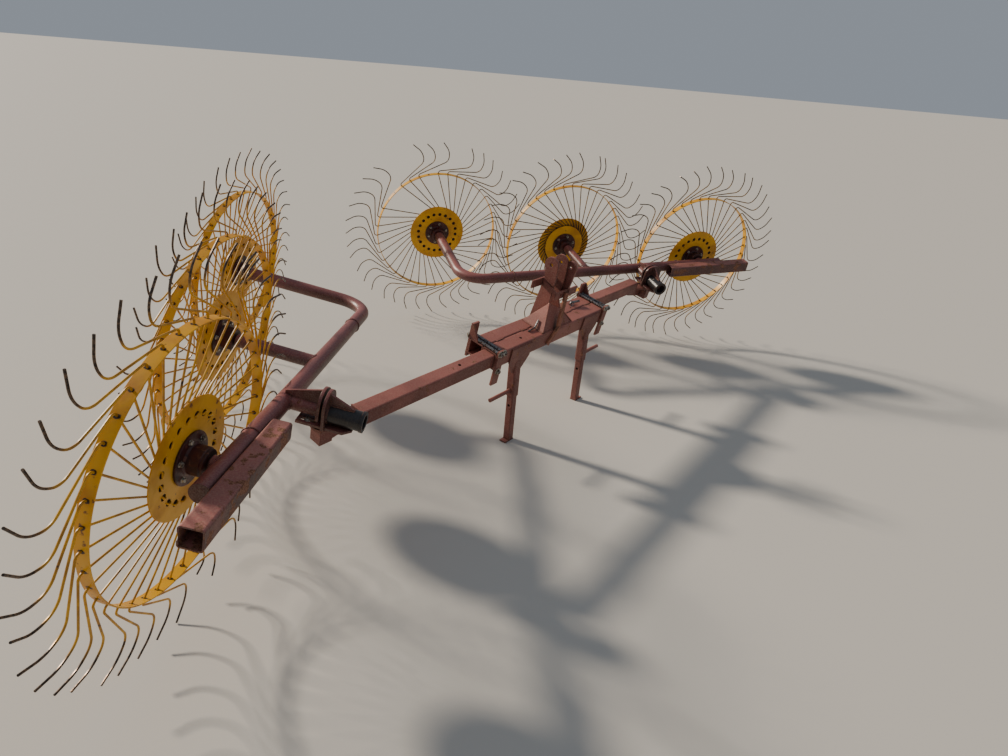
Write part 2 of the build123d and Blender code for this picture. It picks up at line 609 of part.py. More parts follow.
def wing_pipe():
    """Long pipe, its bend into the rear arm, the two branch arms and the axles."""
    front_x = HUB_PLACES[0][0] + PIPE_AHEAD
    rear_x = HUB_PLACES[2][0]
    rear_end_y = HUB_PLACES[2][1] + HUB_FRONT + ARM_GAP
    start = (front_x, pipe_y(front_x), PIPE_RISE)
    corner = (rear_x, pipe_y(rear_x), PIPE_RISE)
    end = (rear_x, rear_end_y, PIPE_RISE)
    path = FilletPolyline(start, corner, end, radius=BEND_RADIUS)
    section = Plane(origin=start, z_dir=(-cos_deg(PIPE_SKEW), -sin_deg(PIPE_SKEW), 0)) * Circle(PIPE_RADIUS)
    pipe = sweep(section, path=path)
    for hub_x, hub_y in HUB_PLACES:
        arm_end = hub_y + HUB_FRONT + ARM_GAP
        arm_start = arm_end + ARM_LAP
        if hub_x > rear_x:
            arm_start = pipe_y(hub_x)
        arm = cylinder_along_y(ARM_PIPE_RADIUS, arm_end, arm_start)
        axle = cylinder_along_y(AXLE_RADIUS, hub_y + HUB_BACK - AXLE_PAST_HUB, arm_end)
        nut_y = hub_y + HUB_BACK - NUT_GAP
        nut = cylinder_along_y(NUT_RADIUS, nut_y - NUT_LENGTH, nut_y)
        pipe = pipe + Pos(hub_x, 0, PIPE_RISE) * (arm + axle + nut)
    return pipe


# The pipe's own line: X along the pipe, through the point where the knuckle's shaft meets it.
pipe_line = Pos(0, -PIPE_BACK, PIPE_RISE) * Rot(0, 0, PIPE_SKEW)


def pipe_block():
    """Round block in the pipe's place, to cut away what would reach into the pipe."""
    length = 2 * (PIVOT_BEHIND_FRONT_WHEEL + STUB_AHEAD + CUT_PAST)
    return pipe_line * Rot(0, 90, 0) * Cylinder(PIPE_RADIUS, length)


def wing_stub():
    """Open square tube beside the pipe's front end, a socket for a further wheel."""
    rear_end = PIVOT_BEHIND_FRONT_WHEEL - STUB_BEHIND
    front_end = PIVOT_BEHIND_FRONT_WHEEL + STUB_AHEAD
    tube = tube_along_x(STUB_SIZE, STUB_WALL, STUB_CORNER, rear_end, front_end)
    stub_y = PIPE_RADIUS + STUB_SIZE / 2 - STUB_SEAT
    return pipe_line * Pos(0, stub_y, 0) * tube - pipe_block()


def wing_pivot():
    """Shaft in the knuckle's sleeve, its cheek plate and the gusset to the pipe."""
    cheek_front = CHEEK_Y - CHEEK_SPACE
    cheek_rear = cheek_front - CHEEK_THICK
    shaft = cylinder_along_y(SHAFT_RADIUS, -PIPE_BACK - CUT_PAST, SLEEVE_FRONT - SHAFT_SHORTER)
    cheek = round_topped_cheek(PIVOT_CHEEK_BOTTOM, cheek_rear, cheek_front)
    web_points = [
        (-PIPE_BACK, PIVOT_WEB_FOOT), (cheek_rear, PIVOT_WEB_FOOT),
        (cheek_rear, CHEEK_TOP - WEB_BELOW_CHEEK_TOP), (-PIPE_BACK, PIPE_RADIUS + PIVOT_WEB_TAIL),
    ]
    web = plate_facing_x(web_points, -PIVOT_WEB_THICK / 2, PIVOT_WEB_THICK / 2)
    return shaft + cheek + web - pipe_block()


def wheel_hub(reversed_plates):
    """Barrel on the axle with its bolting flange and the smaller clamp plate."""
    half = WIRE / 2
    barrel = cylinder_along_y(HUB_RADIUS, HUB_BACK, HUB_FRONT)
    flange_y = half + PLATE_THICK
    flange = cylinder_along_y(FLANGE_RADIUS, flange_y, flange_y + FLANGE_THICK)
    plate_y = -half - PLATE_THICK
    if reversed_plates:
        plate_y = half
    small_plate = cylinder_along_y(SMALL_PLATE_RADIUS, plate_y, plate_y + PLATE_THICK)
    bore = cylinder_along_y(AXLE_RADIUS + AXLE_CLEARANCE, HUB_BACK - CUT_PAST, HUB_FRONT + CUT_PAST)
    return barrel + flange + small_plate - bore


def wheel_plate(reversed_plates):
    """Large clamp plate on the spokes' other side."""
    plate_y = WIRE / 2
    if reversed_plates:
        plate_y = -WIRE / 2 - PLATE_THICK
    plate = cylinder_along_y(LARGE_PLATE_RADIUS, plate_y, plate_y + PLATE_THICK)
    cuts = [cylinder_along_y(HUB_RADIUS, plate_y - CUT_PAST, plate_y + PLATE_THICK + CUT_PAST)]
    hole = cylinder_along_y(PLATE_HOLE_RADIUS, plate_y - CUT_PAST, plate_y + PLATE_THICK + CUT_PAST)
    for index in range(PLATE_HOLES):
        centre = wheel_point(PLATE_HOLE_CIRCLE, (index + 0.5) * 360 / PLATE_HOLES)
        cuts.append(Pos(centre.X, 0, centre.Y) * hole)
    return plate - cuts


def tined_rim():
    """Hoop of flat bar with all tines through it."""
    rim = cylinder_along_y(HOOP_RADIUS + HOOP_THICK / 2, -HOOP_WIDTH / 2, HOOP_WIDTH / 2)
    rim = rim - cylinder_along_y(HOOP_RADIUS - HOOP_THICK / 2, -HOOP_WIDTH, HOOP_WIDTH)
    tines = []
    for hoop_angle in hoop_angles:
        corners = [(point.X, point.Y) for point in tine_outline(hoop_angle)]
        tines.append(plate_facing_y(corners, -WIRE / 2, WIRE / 2))
    return rim.fuse(*tines)


hubs = {False: wheel_hub(False), True: wheel_hub(True)}
plates = {False: wheel_plate(False), True: wheel_plate(True)}
rim_solid = tined_rim()

# Each side is built as the right one and mirrored for the left.
SIDES = (
    ("right", RIGHT_PIVOT_X, BEAM_TUBE / 2, False),
    ("left", LEFT_PIVOT_X, -BEAM_TUBE / 2, True),
)
WHEEL_NAMES = ("front", "middle", "rear")
REVERSED_WHEELS = ("left_middle",)
sleeve_solid = knuckle_sleeve()
knuckle_plates_solid = knuckle_plates()
pipe_solid = wing_pipe()
stub_solid = wing_stub()
pivot_solid = wing_pivot()
for side, pivot_x, arm_y, is_left in SIDES:
    pin_y = arm_y - math.copysign(PIN_TO_ARM, arm_y)
    knuckle_place = FRAME * Pos(pivot_x, pin_y, PIVOT_UP) * Rot(0, 0, WING_YAW)
    wing_place = FRAME * Pos(pivot_x, pin_y, PIVOT_UP) * wing_turn
    export_node(side + "_arm", FRAME * sliding_arm(pivot_x, arm_y, pin_y), is_left)
    export_node(side + "_knuckle_sleeve", knuckle_place * sleeve_solid, is_left)
    export_node(side + "_knuckle_plates", knuckle_place * knuckle_plates_solid, is_left)
    export_node(side + "_wing_pipe", wing_place * pipe_solid, is_left)
    export_node(side + "_wing_stub", wing_place * stub_solid, is_left)
    export_node(side + "_wing_pivot", wing_place * pivot_solid, is_left)
    for wheel_name, (hub_x, hub_y) in zip(WHEEL_NAMES, HUB_PLACES):
        label = side + "_" + wheel_name
        turned = label in REVERSED_WHEELS
        wheel_place = wing_place * Pos(hub_x, hub_y, PIPE_RISE)
        export_node(label + "_hub", wheel_place * hubs[turned], is_left)
        export_node(label + "_plate", wheel_place * plates[turned], is_left)
        export_node(label + "_rim", wheel_place * rim_solid, is_left)

whole = Compound(children=list(NODES.values())).bounding_box()
print("nodes", len(NODES))
print("box", whole.min, whole.max)
print("beam height", round(BEAM_Z, 4), "hub height", round(HUB_Z, 4), "seesaw", round(WING_SEESAW, 3))
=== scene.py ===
import json
import math
import random

import bmesh
import bpy
from mathutils import Matrix, Vector

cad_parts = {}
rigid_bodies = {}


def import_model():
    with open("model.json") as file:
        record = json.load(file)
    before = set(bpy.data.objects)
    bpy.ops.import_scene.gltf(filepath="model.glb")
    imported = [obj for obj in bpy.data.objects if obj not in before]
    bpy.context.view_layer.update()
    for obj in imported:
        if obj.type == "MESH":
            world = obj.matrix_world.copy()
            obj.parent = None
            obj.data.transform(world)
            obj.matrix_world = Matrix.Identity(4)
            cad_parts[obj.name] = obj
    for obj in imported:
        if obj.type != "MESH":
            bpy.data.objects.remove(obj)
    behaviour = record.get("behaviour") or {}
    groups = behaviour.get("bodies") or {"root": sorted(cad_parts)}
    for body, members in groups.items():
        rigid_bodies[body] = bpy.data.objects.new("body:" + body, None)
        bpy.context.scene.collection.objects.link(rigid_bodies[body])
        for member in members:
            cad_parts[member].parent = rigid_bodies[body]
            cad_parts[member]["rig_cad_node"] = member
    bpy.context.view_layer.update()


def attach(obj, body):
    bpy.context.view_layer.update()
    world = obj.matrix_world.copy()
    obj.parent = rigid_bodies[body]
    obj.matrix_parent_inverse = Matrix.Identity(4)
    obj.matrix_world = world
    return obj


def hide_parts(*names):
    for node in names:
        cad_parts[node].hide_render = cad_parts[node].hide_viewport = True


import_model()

# View
# The rake is seen from its right front corner, a little above the wheels, with a wide lens.
# The photographer's ground falls away to one side, so the camera leans by a few degrees.
CAMERA_PLACE = Vector((2.607, 2.510, 1.839))
CAMERA_HEADING = math.radians(-143.30)
CAMERA_DIP = math.radians(26.38)
CAMERA_ROLL = math.radians(4.95)
SENSOR_WIDTH = 36.0
LENS_LENGTH = 22.07

level_ahead = Vector((math.cos(CAMERA_HEADING), math.sin(CAMERA_HEADING), 0))
look = level_ahead * math.cos(CAMERA_DIP) - Vector((0, 0, math.sin(CAMERA_DIP)))
level_right = Vector((math.sin(CAMERA_HEADING), -math.cos(CAMERA_HEADING), 0))
level_up = level_right.cross(look)
camera_right = level_right * math.cos(CAMERA_ROLL) + level_up * math.sin(CAMERA_ROLL)
camera_up = level_up * math.cos(CAMERA_ROLL) - level_right * math.sin(CAMERA_ROLL)
camera_turn = Matrix((camera_right, camera_up, -look)).transposed().to_4x4()
camera_data = bpy.data.cameras.new("camera")
camera_data.sensor_width = SENSOR_WIDTH
camera_data.lens = LENS_LENGTH
camera = bpy.data.objects.new("camera", camera_data)
camera.matrix_world = Matrix.Translation(CAMERA_PLACE) @ camera_turn
bpy.context.scene.collection.objects.link(camera)
bpy.context.scene.camera = camera


# Floor and light
# A plain pale floor under a pale sky, and one soft warm sun low behind the rake, where it stands
# in the open yard.
MM_PER_METRE = 1000.0
FLOOR_HALF = 300.0
FLOOR_DROP = 0.0008
SKY_STRENGTH = 0.36
SUN_WAY = Vector((-0.195, 0.850, -0.470))
SUN_STRENGTH = 4.8
SUN_SOFTNESS = math.radians(5.0)


def srgb(hex_colour):
    """Linear colour with alpha from an sRGB hex value."""
    channels = [int(hex_colour[i:i + 2], 16) / 255 for i in (1, 3, 5)]
    linear = [c / 12.92 if c <= 0.04045 else ((c + 0.055) / 1.055) ** 2.4 for c in channels]
    return (*linear, 1.0)


def node(tree, kind, inputs=None, **settings):
    """One shader node with its settings; an input is a value or another node's output."""
    made = tree.nodes.new(kind)
    for setting, value in settings.items():
        setattr(made, setting, value)
    for socket, source in (inputs or {}).items():
        if isinstance(source, bpy.types.NodeSocket):
            tree.links.new(source, made.inputs[socket])
        else:
            made.inputs[socket].default_value = source
    return made


def new_material(name):
    """An empty node material with its shader, and its object coordinates."""
    material = bpy.data.materials.new(name)
    material.use_nodes = True
    tree = material.node_tree
    shader = tree.nodes["Principled BSDF"]
    place = node(tree, "ShaderNodeTexCoord").outputs["Object"]
    return material, tree, shader, place


def speckle(tree, place, grain_mm, detail=4.0, rough=0.55):
    """Noise whose blotches are about grain_mm wide."""
    inputs = {"Vector": place, "Scale": 500.0 / grain_mm, "Detail": detail, "Roughness": rough}
    return node(tree, "ShaderNodeTexNoise", inputs).outputs["Fac"]


def step(tree, value, low, high, to_low=0.0, to_high=1.0):
    """Turns a value's run from low to high into one from to_low to to_high."""
    inputs = {"Value": value, "From Min": low, "From Max": high, "To Min": to_low, "To Max": to_high}
    return node(tree, "ShaderNodeMapRange", inputs, interpolation_type="SMOOTHSTEP").outputs[0]


def blend(tree, share, first, second):
    """Colour mix by an output's share; first and second are hex values or colour outputs."""
    first, second = [srgb(colour) if isinstance(colour, str) else colour for colour in (first, second)]
    return node(tree, "ShaderNodeMix", {0: share, 6: first, 7: second}, data_type="RGBA").outputs[2]


def maths(tree, operation, first, second):
    """One arithmetic node, held between 0 and 1."""
    made = node(tree, "ShaderNodeMath", {0: first, 1: second}, operation=operation, use_clamp=True)
    return made.outputs[0]


def soil_and_painted_shade_in_corners(tree, colour, reach_mm, share):
    """Darkens a colour where surfaces meet, out to reach_mm from the corner: caked soil, and painted
    shade in the corners and hollows.
    """
    inputs = {"Distance": reach_mm / MM_PER_METRE}
    open_share = node(tree, "ShaderNodeAmbientOcclusion", inputs, samples=4).outputs["AO"]
    return blend(tree, step(tree, open_share, 0.80, 0.30, 0.0, share), colour, "#33241C")


def relief(tree, shader, height, depth_mm, base=None):
    """Bump of the stated depth on the shader."""
    inputs = {"Height": height, "Distance": depth_mm / MM_PER_METRE, "Strength": 1.0}
    if base is not None:
        inputs["Normal"] = base
    bump = node(tree, "ShaderNodeBump", inputs).outputs[0]
    tree.links.new(bump, shader.inputs["Normal"])


floor_material, tree, shader, place = new_material("pale_floor")
shader.inputs["Base Color"].default_value = srgb("#C9C5BD")
shader.inputs["Roughness"].default_value = 0.9
floor_mesh = bpy.data.meshes.new("floor")
floor_corners = [
    (way_x * FLOOR_HALF, way_y * FLOOR_HALF, -FLOOR_DROP)
    for way_x, way_y in ((-1, -1), (1, -1), (1, 1), (-1, 1))
]
floor_mesh.from_pydata(floor_corners, [], [(0, 1, 2, 3)])
floor_mesh.materials.append(floor_material)
floor = bpy.data.objects.new("floor", floor_mesh)
bpy.context.scene.collection.objects.link(floor)

world = bpy.data.worlds.new("pale_sky")
world.use_nodes = True
sky = world.node_tree.nodes["Background"]
sky.inputs["Color"].default_value = srgb("#DCE6F4")
sky.inputs["Strength"].default_value = SKY_STRENGTH
bpy.context.scene.world = world

sun_data = bpy.data.lights.new("low_sun", "SUN")
sun_data.energy = SUN_STRENGTH
sun_data.angle = SUN_SOFTNESS
sun_data.color = srgb("#FFF1DE")[:3]
sun = bpy.data.objects.new("low_sun", sun_data)
sun.rotation_mode = "QUATERNION"
sun.rotation_quaternion = SUN_WAY.to_track_quat("-Z", "Y")
bpy.context.scene.collection.objects.link(sun)

# Stance
# The beam leans forward on its two stands. Each wing carries three wheels on a slanting pipe and
# stands yawed on its knuckle; the left side is the right one mirrored, with a shorter arm.
BEAM_PITCH = 11.5
WING_YAW = 31.5
BEAM_UP = 0.5638086
SEESAW = -10.279
CENTRE_SHIFT = Matrix.Translation((-0.130, 0.726955, 0))
PIVOT_UP = 0.050
PIVOT_X = {"right": 1.500, "left": 1.240}
STEP_ALONG = 0.895
STEP_BACK = 0.381
FRONT_HUB = Vector((0.500, -0.246, 0.0))
WHEELS = ("front", "middle", "rear")


def turn(degrees, axis):
    """Rotation about an axis through the origin."""
    return Matrix.Rotation(math.radians(degrees), 4, axis)


BEAM = Matrix.Translation((0, 0, BEAM_UP)) @ turn(-BEAM_PITCH, "X")
MIRROR = {"right": Matrix.Identity(4), "left": Matrix.Diagonal((-1, 1, 1, 1))}


def beam_place(side="right"):
    """From the beam's own place, with its middle at the origin, to the rake's."""
    return CENTRE_SHIFT @ MIRROR[side] @ BEAM


def knuckle_place(side):
    """From a knuckle's place, with its pin and shaft crossing at the origin, to the rake's."""
    return beam_place(side) @ Matrix.Translation((PIVOT_X[side], 0, PIVOT_UP)) @ turn(WING_YAW, "Z")


def wing_place(side):
    """From a wing's place, rocked on the knuckle's shaft, to the rake's."""
    return knuckle_place(side) @ turn(SEESAW, "Y")


def hub_in_wing(wheel):
    """A hub's middle in the wing's place; each wheel stands one step behind the last."""
    return FRONT_HUB - Vector((STEP_ALONG, STEP_BACK, 0)) * WHEELS.index(wheel)


def wheel_place(side, wheel):
    """From a wheel's place, with its axle along Y, to the rake's."""
    return wing_place(side) @ Matrix.Translation(hub_in_wing(wheel))


# Tines and hoops
# Forty spring steel wires of 7 mm run from between the clamp plates through holes in a flat bar
# hoop and end in swept hooks. The yellow enamel is worn off the hooks, which are bare and dark.
# Angles are in degrees, and every size is in metres.
TINE_COUNT = 40
WIRE_RADIUS = 0.0035
HOOP_RADIUS = 0.450
HOOP_WIDTH = 0.040
HOOP_THICK = 0.004
NECK_RADIUS = 0.470
TIP_RADIUS = 0.700
TIP_LAG = 16.3
TANGENT_RADIUS = 0.120
SPOKE_START = 0.135
NECK_BEND = 0.016
HOOP_EDGE = 0.0012
HOOP_PARTS_PER_TINE = 4
FOOT_CLEAR = 0.001
LONGEST_REACH_SHARE = 0.45
SMOOTH_UNDER = math.radians(38)
# The hook's two wide bends: radius in the wheel, degrees behind the tip and bend radius.
HOOK_BENDS = ((0.552, 5.0, 0.052), (0.622, 4.4, 0.100))
# Use has bent each side's hooks in its own way: the tip's radius and its lag behind the hoop's hole.
HOOK_TIP = {"right": (0.686, 16.3), "left": (0.689, 20.0)}


def in_wheel(radius, angle, out=0.0):
    """A point by its radius and angle in the wheel's plane, out along the axle."""
    return Vector((radius * math.cos(math.radians(angle)), out, radius * math.sin(math.radians(angle))))


def rounded(corners, bends, steps=8):
    """Points of a line through corners, each inner corner rounded by an arc of its bend radius."""
    line = [corners[0]]
    for before, corner, after, bend in zip(corners, corners[1:], corners[2:], bends):
        back = (before - corner).normalized()
        ahead = (after - corner).normalized()
        half = back.angle(ahead) / 2
        shorter_run = min((before - corner).length, (after - corner).length)
        reach = min(bend / math.tan(half), LONGEST_REACH_SHARE * shorter_run)
        start = corner + back * reach
        end = corner + ahead * reach
        middle = corner + (back + ahead).normalized() * (reach / math.cos(half))
        from_middle = (start - middle).normalized()
        to_end = (end - middle).normalized()
        for i in range(steps + 1):
            line.append(middle + from_middle.slerp(to_end, i / steps) * (reach * math.tan(half)))
    line.append(corners[-1])
    return line


def add_wire(bm, line, radii, sides=8, layer=None, shade=None):
    """Round wire along a line, with a radius and, for a layer, a shade for each point."""
    rings = []
    normal = Vector((0, 1, 0))
    for i, point in enumerate(line):
        ahead = (line[min(i + 1, len(line) - 1)] - line[max(i - 1, 0)]).normalized()
        across = normal - ahead * normal.dot(ahead)
        if across.length < 1e-3:
            across = ahead.orthogonal()
        across.normalize()
        normal = across
        other = ahead.cross(across)
        ring = []
        for k in range(sides):
            a = 2 * math.pi * k / sides
            corner = bm.verts.new(point + (across * math.cos(a) + other * math.sin(a)) * radii[i])
            if layer is not None:
                corner[layer] = shade[i]
            ring.append(corner)
        rings.append(ring)
    for ring, following in zip(rings, rings[1:]):
        for k in range(sides):
            bm.faces.new((ring[k], ring[(k + 1) % sides], following[(k + 1) % sides], following[k]))
    bm.faces.new(rings[0][::-1])
    bm.faces.new(rings[-1])


def add_rod(bm, line, radius, sides=12):
    """Round bar of one radius along a line."""
    add_wire(bm, line, [radius] * len(line), sides)


def make_piece(name, bm, matrix, body, material, replaced=()):
    """Settles a mesh at its place and lets it ride on its body."""
    mesh = bpy.data.meshes.new(name)
    bmesh.ops.recalc_face_normals(bm, faces=bm.faces)
    bm.to_mesh(mesh)
    bm.free()
    mesh.transform(matrix)
    if matrix.determinant() < 0:
        mesh.flip_normals()
    mesh.shade_smooth()
    mesh.set_sharp_from_angle(angle=SMOOTH_UNDER)
    mesh.materials.append(material)
    piece = bpy.data.objects.new(name, mesh)
    bpy.context.scene.collection.objects.link(piece)
    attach(piece, body)
    if replaced:
        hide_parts(*replaced)


# Sprayed enamel on spring steel. "outer" runs from 0 on the spoke to 1 at the hook's tip.
# The enamel is chipped in patches of about 25 mm on the spoke and leg and gone on the hook.
def wire_enamel(name, enamel, faded, chips):
    material, tree, shader, place = new_material(name)
    outer = node(tree, "ShaderNodeAttribute", attribute_name="outer").outputs["Fac"]
    patches = speckle(tree, place, 25.0)
    fine = speckle(tree, place, 5.0)
    paint = blend(tree, step(tree, patches, 0.35, 0.65), enamel, faded)
    steel = blend(tree, step(tree, fine, 0.4, 0.62), "#3A332F", "#6B5848")
    worn = maths(tree, "ADD", step(tree, outer, 0.42, 0.62), step(tree, patches, chips, chips + 0.06))
    colour = blend(tree, worn, paint, steel)
    tree.links.new(colour, shader.inputs["Base Color"])
    tree.links.new(step(tree, worn, 0, 1, 0.42, 0.32), shader.inputs["Roughness"])
    tree.links.new(step(tree, worn, 0, 1, 0.0, 0.7), shader.inputs["Metallic"])
    relief(tree, shader, fine, 0.3)
    return material


bright_wire = wire_enamel("yellow_enamel_on_spring_wire", "#D9A012", "#A87412", 0.66)
# the left wheels' wires get a darker brown copy of the enamel: painted shade for the wheels on the side
# away from the sun, with more chipping
worn_wire_in_painted_shade = wire_enamel("worn_enamel_on_spring_wire_in_painted_shade", "#8A6218", "#57401E", 0.50)


# Sprayed enamel on flat steel bar and plate: glossy golden yellow, stained brown by soil in
# blotches of about 60 mm, with small rust spots. On the hoop the wires have rubbed it to dark
# steel in a ragged oval round each hole, which the two attributes measure.
def plate_enamel(name, rubbed_by_wires):
    material, tree, shader, place = new_material(name)
    cloud = speckle(tree, place, 60.0)
    fine = speckle(tree, place, 6.0)
    colour = blend(tree, step(tree, cloud, 0.38, 0.70), "#E4A80E", "#C5860C")
    colour = blend(tree, step(tree, speckle(tree, place, 14.0), 0.64, 0.72), colour, "#7A4A18")
    if rubbed_by_wires:
        along = node(tree, "ShaderNodeAttribute", attribute_name="from_wire").outputs["Fac"]
        across = node(tree, "ShaderNodeAttribute", attribute_name="from_middle").outputs["Fac"]
        across = node(tree, "ShaderNodeMath", {0: across, 1: 0.75}, operation="MULTIPLY").outputs[0]
        reach = node(tree, "ShaderNodeCombineXYZ", {"X": along, "Y": across}).outputs[0]
        reach = node(tree, "ShaderNodeVectorMath", {0: reach}, operation="LENGTH").outputs["Value"]
        inputs = {0: fine, 1: -0.008, 2: reach}
        ragged = node(tree, "ShaderNodeMath", inputs, operation="MULTIPLY_ADD").outputs[0]
        colour = blend(tree, step(tree, ragged, 0.0045, 0.0015), colour, "#2A1C12")
    # soil and painted shade darken the enamel where surfaces meet
    colour = soil_and_painted_shade_in_corners(tree, colour, 12.0, 0.7)
    tree.links.new(colour, shader.inputs["Base Color"])
    tree.links.new(step(tree, cloud, 0.3, 0.7, 0.34, 0.52), shader.inputs["Roughness"])
    relief(tree, shader, fine, 0.25)
    return material


yellow_enamel = plate_enamel("yellow_enamel_on_steel_plate", False)
hoop_enamel = plate_enamel("yellow_enamel_on_hoop_bar", True)

# Tines that are bent out of line: sway of the hook in degrees, lean along the axle and missing
# reach in metres. The left rear wheel has lost three tines.
TINE_BEND = {
    "right_front": {37: (-3.0, 0.03, 0.02), 38: (4.0, -0.02, 0.05), 39: (-5.0, 0.04, 0.07)},
    "right_middle": {12: (3.5, 0.03, 0.01), 27: (-3.0, -0.02, 0.02)},
    "left_middle": {6: (3.0, 0.02, 0.01), 19: (-2.5, 0.03, 0.0)},
    "left_front": {24: (2.5, -0.03, 0.02)},
}
MISSING_TINES = {"left_rear": (19, 23, 24)}
dice = random.Random(7)


def tine_line(side, hoop_angle, sway, lean, shorter):
    """Centre line of one tine, with the hook's sway in degrees and its sideways lean."""
    tip_radius, tip_lag = HOOK_TIP[side]
    tip_angle = hoop_angle - tip_lag + sway
    foot_angle = hoop_angle - math.degrees(math.acos(TANGENT_RADIUS / HOOP_RADIUS))
    start_angle = foot_angle + math.degrees(math.acos(TANGENT_RADIUS / SPOKE_START))
    neck_angle = foot_angle + math.degrees(math.acos(TANGENT_RADIUS / NECK_RADIUS))
    corners = [
        in_wheel(SPOKE_START, start_angle),
        in_wheel(NECK_RADIUS, neck_angle),
        *[in_wheel(radius - shorter / 3, tip_angle - lag, lean * 0.7) for radius, lag, _ in HOOK_BENDS],
        in_wheel(tip_radius - shorter, tip_angle, lean),
    ]
    return rounded(corners, (NECK_BEND, *[bend for _, _, bend in HOOK_BENDS]))


def tines_mesh(side, label):
    """All tines of a wheel, each a little out of line as use leaves them."""
    bm = bmesh.new()
    layer = bm.verts.layers.float.new("outer")
    for index in range(TINE_COUNT):
        hoop_angle = -90 + TIP_LAG + index * 360 / TINE_COUNT
        sway = dice.gauss(0, 0.7)
        lean = dice.gauss(0, 0.006)
        shorter = abs(dice.gauss(0.004, 0.008))
        if index in MISSING_TINES.get(label, ()):
            continue
        if index in TINE_BEND.get(label, {}):
            sway, lean, shorter = TINE_BEND[label][index]
        if index == 0:
            # the lowest tine stands on the ground at the wheel's full reach
            sway, lean, shorter = 0.0, 0.0, HOOK_TIP[side][0] - TIP_RADIUS + FOOT_CLEAR
        line = tine_line(side, hoop_angle, sway, lean, shorter)
        shade = [max(0.0, (p.length - HOOP_RADIUS) / (TIP_RADIUS - HOOP_RADIUS)) for p in line]
        add_wire(bm, line, [WIRE_RADIUS] * len(line), 8, layer, shade)
    return bm


def hoop_mesh():
    """Flat bar rolled to a ring, its edges rounded by the rolling mill."""
    edge = HOOP_EDGE
    half = HOOP_WIDTH / 2
    thick = HOOP_THICK / 2
    section = [
        (thick - edge, -half), (thick, -half + edge), (thick, half - edge), (thick - edge, half),
        (edge - thick, half), (-thick, half - edge), (-thick, edge - half), (edge - thick, -half),
    ]
    bm = bmesh.new()
    along = bm.verts.layers.float.new("from_wire")
    across = bm.verts.layers.float.new("from_middle")
    rings = []
    count = TINE_COUNT * HOOP_PARTS_PER_TINE
    for i in range(count):
        angle = -90 + TIP_LAG + i * 360 / count
        ring = [bm.verts.new(in_wheel(HOOP_RADIUS + r, angle, out)) for r, out in section]
        past = i % HOOP_PARTS_PER_TINE
        beside = min(past, HOOP_PARTS_PER_TINE - past) * 2 * math.pi * HOOP_RADIUS / count
        for corner, (r, out) in zip(ring, section):
            corner[along] = beside
            corner[across] = out
        rings.append(ring)
    for i, ring in enumerate(rings):
        following = rings[(i + 1) % len(rings)]
        for k in range(len(section)):
            j = (k + 1) % len(section)
            bm.faces.new((ring[k], ring[j], following[j], following[k]))
    return bm


for side in ("right", "left"):
    for wheel in WHEELS:
        label = side + "_" + wheel
        matrix = wheel_place(side, wheel)
        body = label + "_wheel"
        # the left wheels take the darker copy of the wire enamel, painted in shade
        wire = bright_wire if side == "right" else worn_wire_in_painted_shade
        make_piece(label + "_tines", tines_mesh(side, label), matrix, body, wire)
        make_piece(
            label + "_hoop", hoop_mesh(), matrix, body,
            hoop_enamel, [label + "_rim"],
        )

# Clamp plates and hubs
# A large and a small round plate of 4 mm steel clamp the spokes' inner ends. Each spoke wire is
# hooked through a hole of the large plate. The hub behind is a dark red casting with six bolts.
LARGE_PLATE_RADIUS = 0.205
SMALL_PLATE_RADIUS = 0.150
PLATE_THICK = 0.004
HOOK_HOLES = 20
HOOK_CIRCLE = 0.145
HOOK_HOLE_RADIUS = 0.012
HUB_RADIUS = 0.050
FLANGE_RADIUS = 0.090
FLANGE_THICK = 0.008
BOLT_CIRCLE = 0.070
HUB_FRONT = 0.072
HUB_BACK = -0.025
HUB_BORE = 0.018
HUB_EDGE = 0.003
FLANGE_EDGE = 0.0015
HUB_FILLET = 0.006
CAP_IN = 0.004
CAP_FROM = 0.009
CAP_EDGE = 0.002
HUB_BOLTS = 6
HUB_BOLT = (0.014, 0.008, 0.0025)
SHEET_EDGE = 0.0006
# the bow of wire in a hook hole: half its span in degrees, its skew and its rise
BOW_SPAN = 3.6
BOW_FOOT_SPAN = 4.0
BOW_SKEW = 0.004
BOW_SWELL = 0.005
BOW_RISE = 0.002
BOW_BENDS = (0.004, 0.008, 0.004)
# the dark plug of painted shade in each hook hole: its reach past the hole, its depth behind, and the
# heights of its edge, crown and top
PLUG_PAST_HOLE = 0.001
PLUG_BEHIND = 0.001
PLUG_EDGE = 0.0035
PLUG_CROWN = 0.005
PLUG_TOP = 0.0052


def flat_plate(outlines, thick):
    """Plate cut from sheet: closed outlines, the first one outside and the rest holes."""
    curve = bpy.data.curves.new("cutting", "CURVE")
    curve.dimensions = "2D"
    curve.fill_mode = "BOTH"
    curve.extrude = thick / 2 - SHEET_EDGE
    curve.bevel_depth = SHEET_EDGE
    curve.bevel_resolution = 1
    curve.offset = -SHEET_EDGE
    for outline in outlines:
        spline = curve.splines.new("POLY")
        spline.points.add(len(outline) - 1)
        for point, (x, y) in zip(spline.points, outline):
            point.co = (x, y, 0, 1)
        spline.use_cyclic_u = True
    cutting = bpy.data.objects.new("cutting", curve)
    bpy.context.scene.collection.objects.link(cutting)
    evaluated = cutting.evaluated_get(bpy.context.evaluated_depsgraph_get())
    mesh = bpy.data.meshes.new_from_object(evaluated)
    bpy.data.objects.remove(cutting)
    bpy.data.curves.remove(curve)
    return mesh


def ring_of(radius, count, x=0.0, y=0.0):
    """Round outline of a plate or of a hole in it."""
    angles = [i * 2 * math.pi / count for i in range(count)]
    return [(x + radius * math.cos(a), y + radius * math.sin(a)) for a in angles]


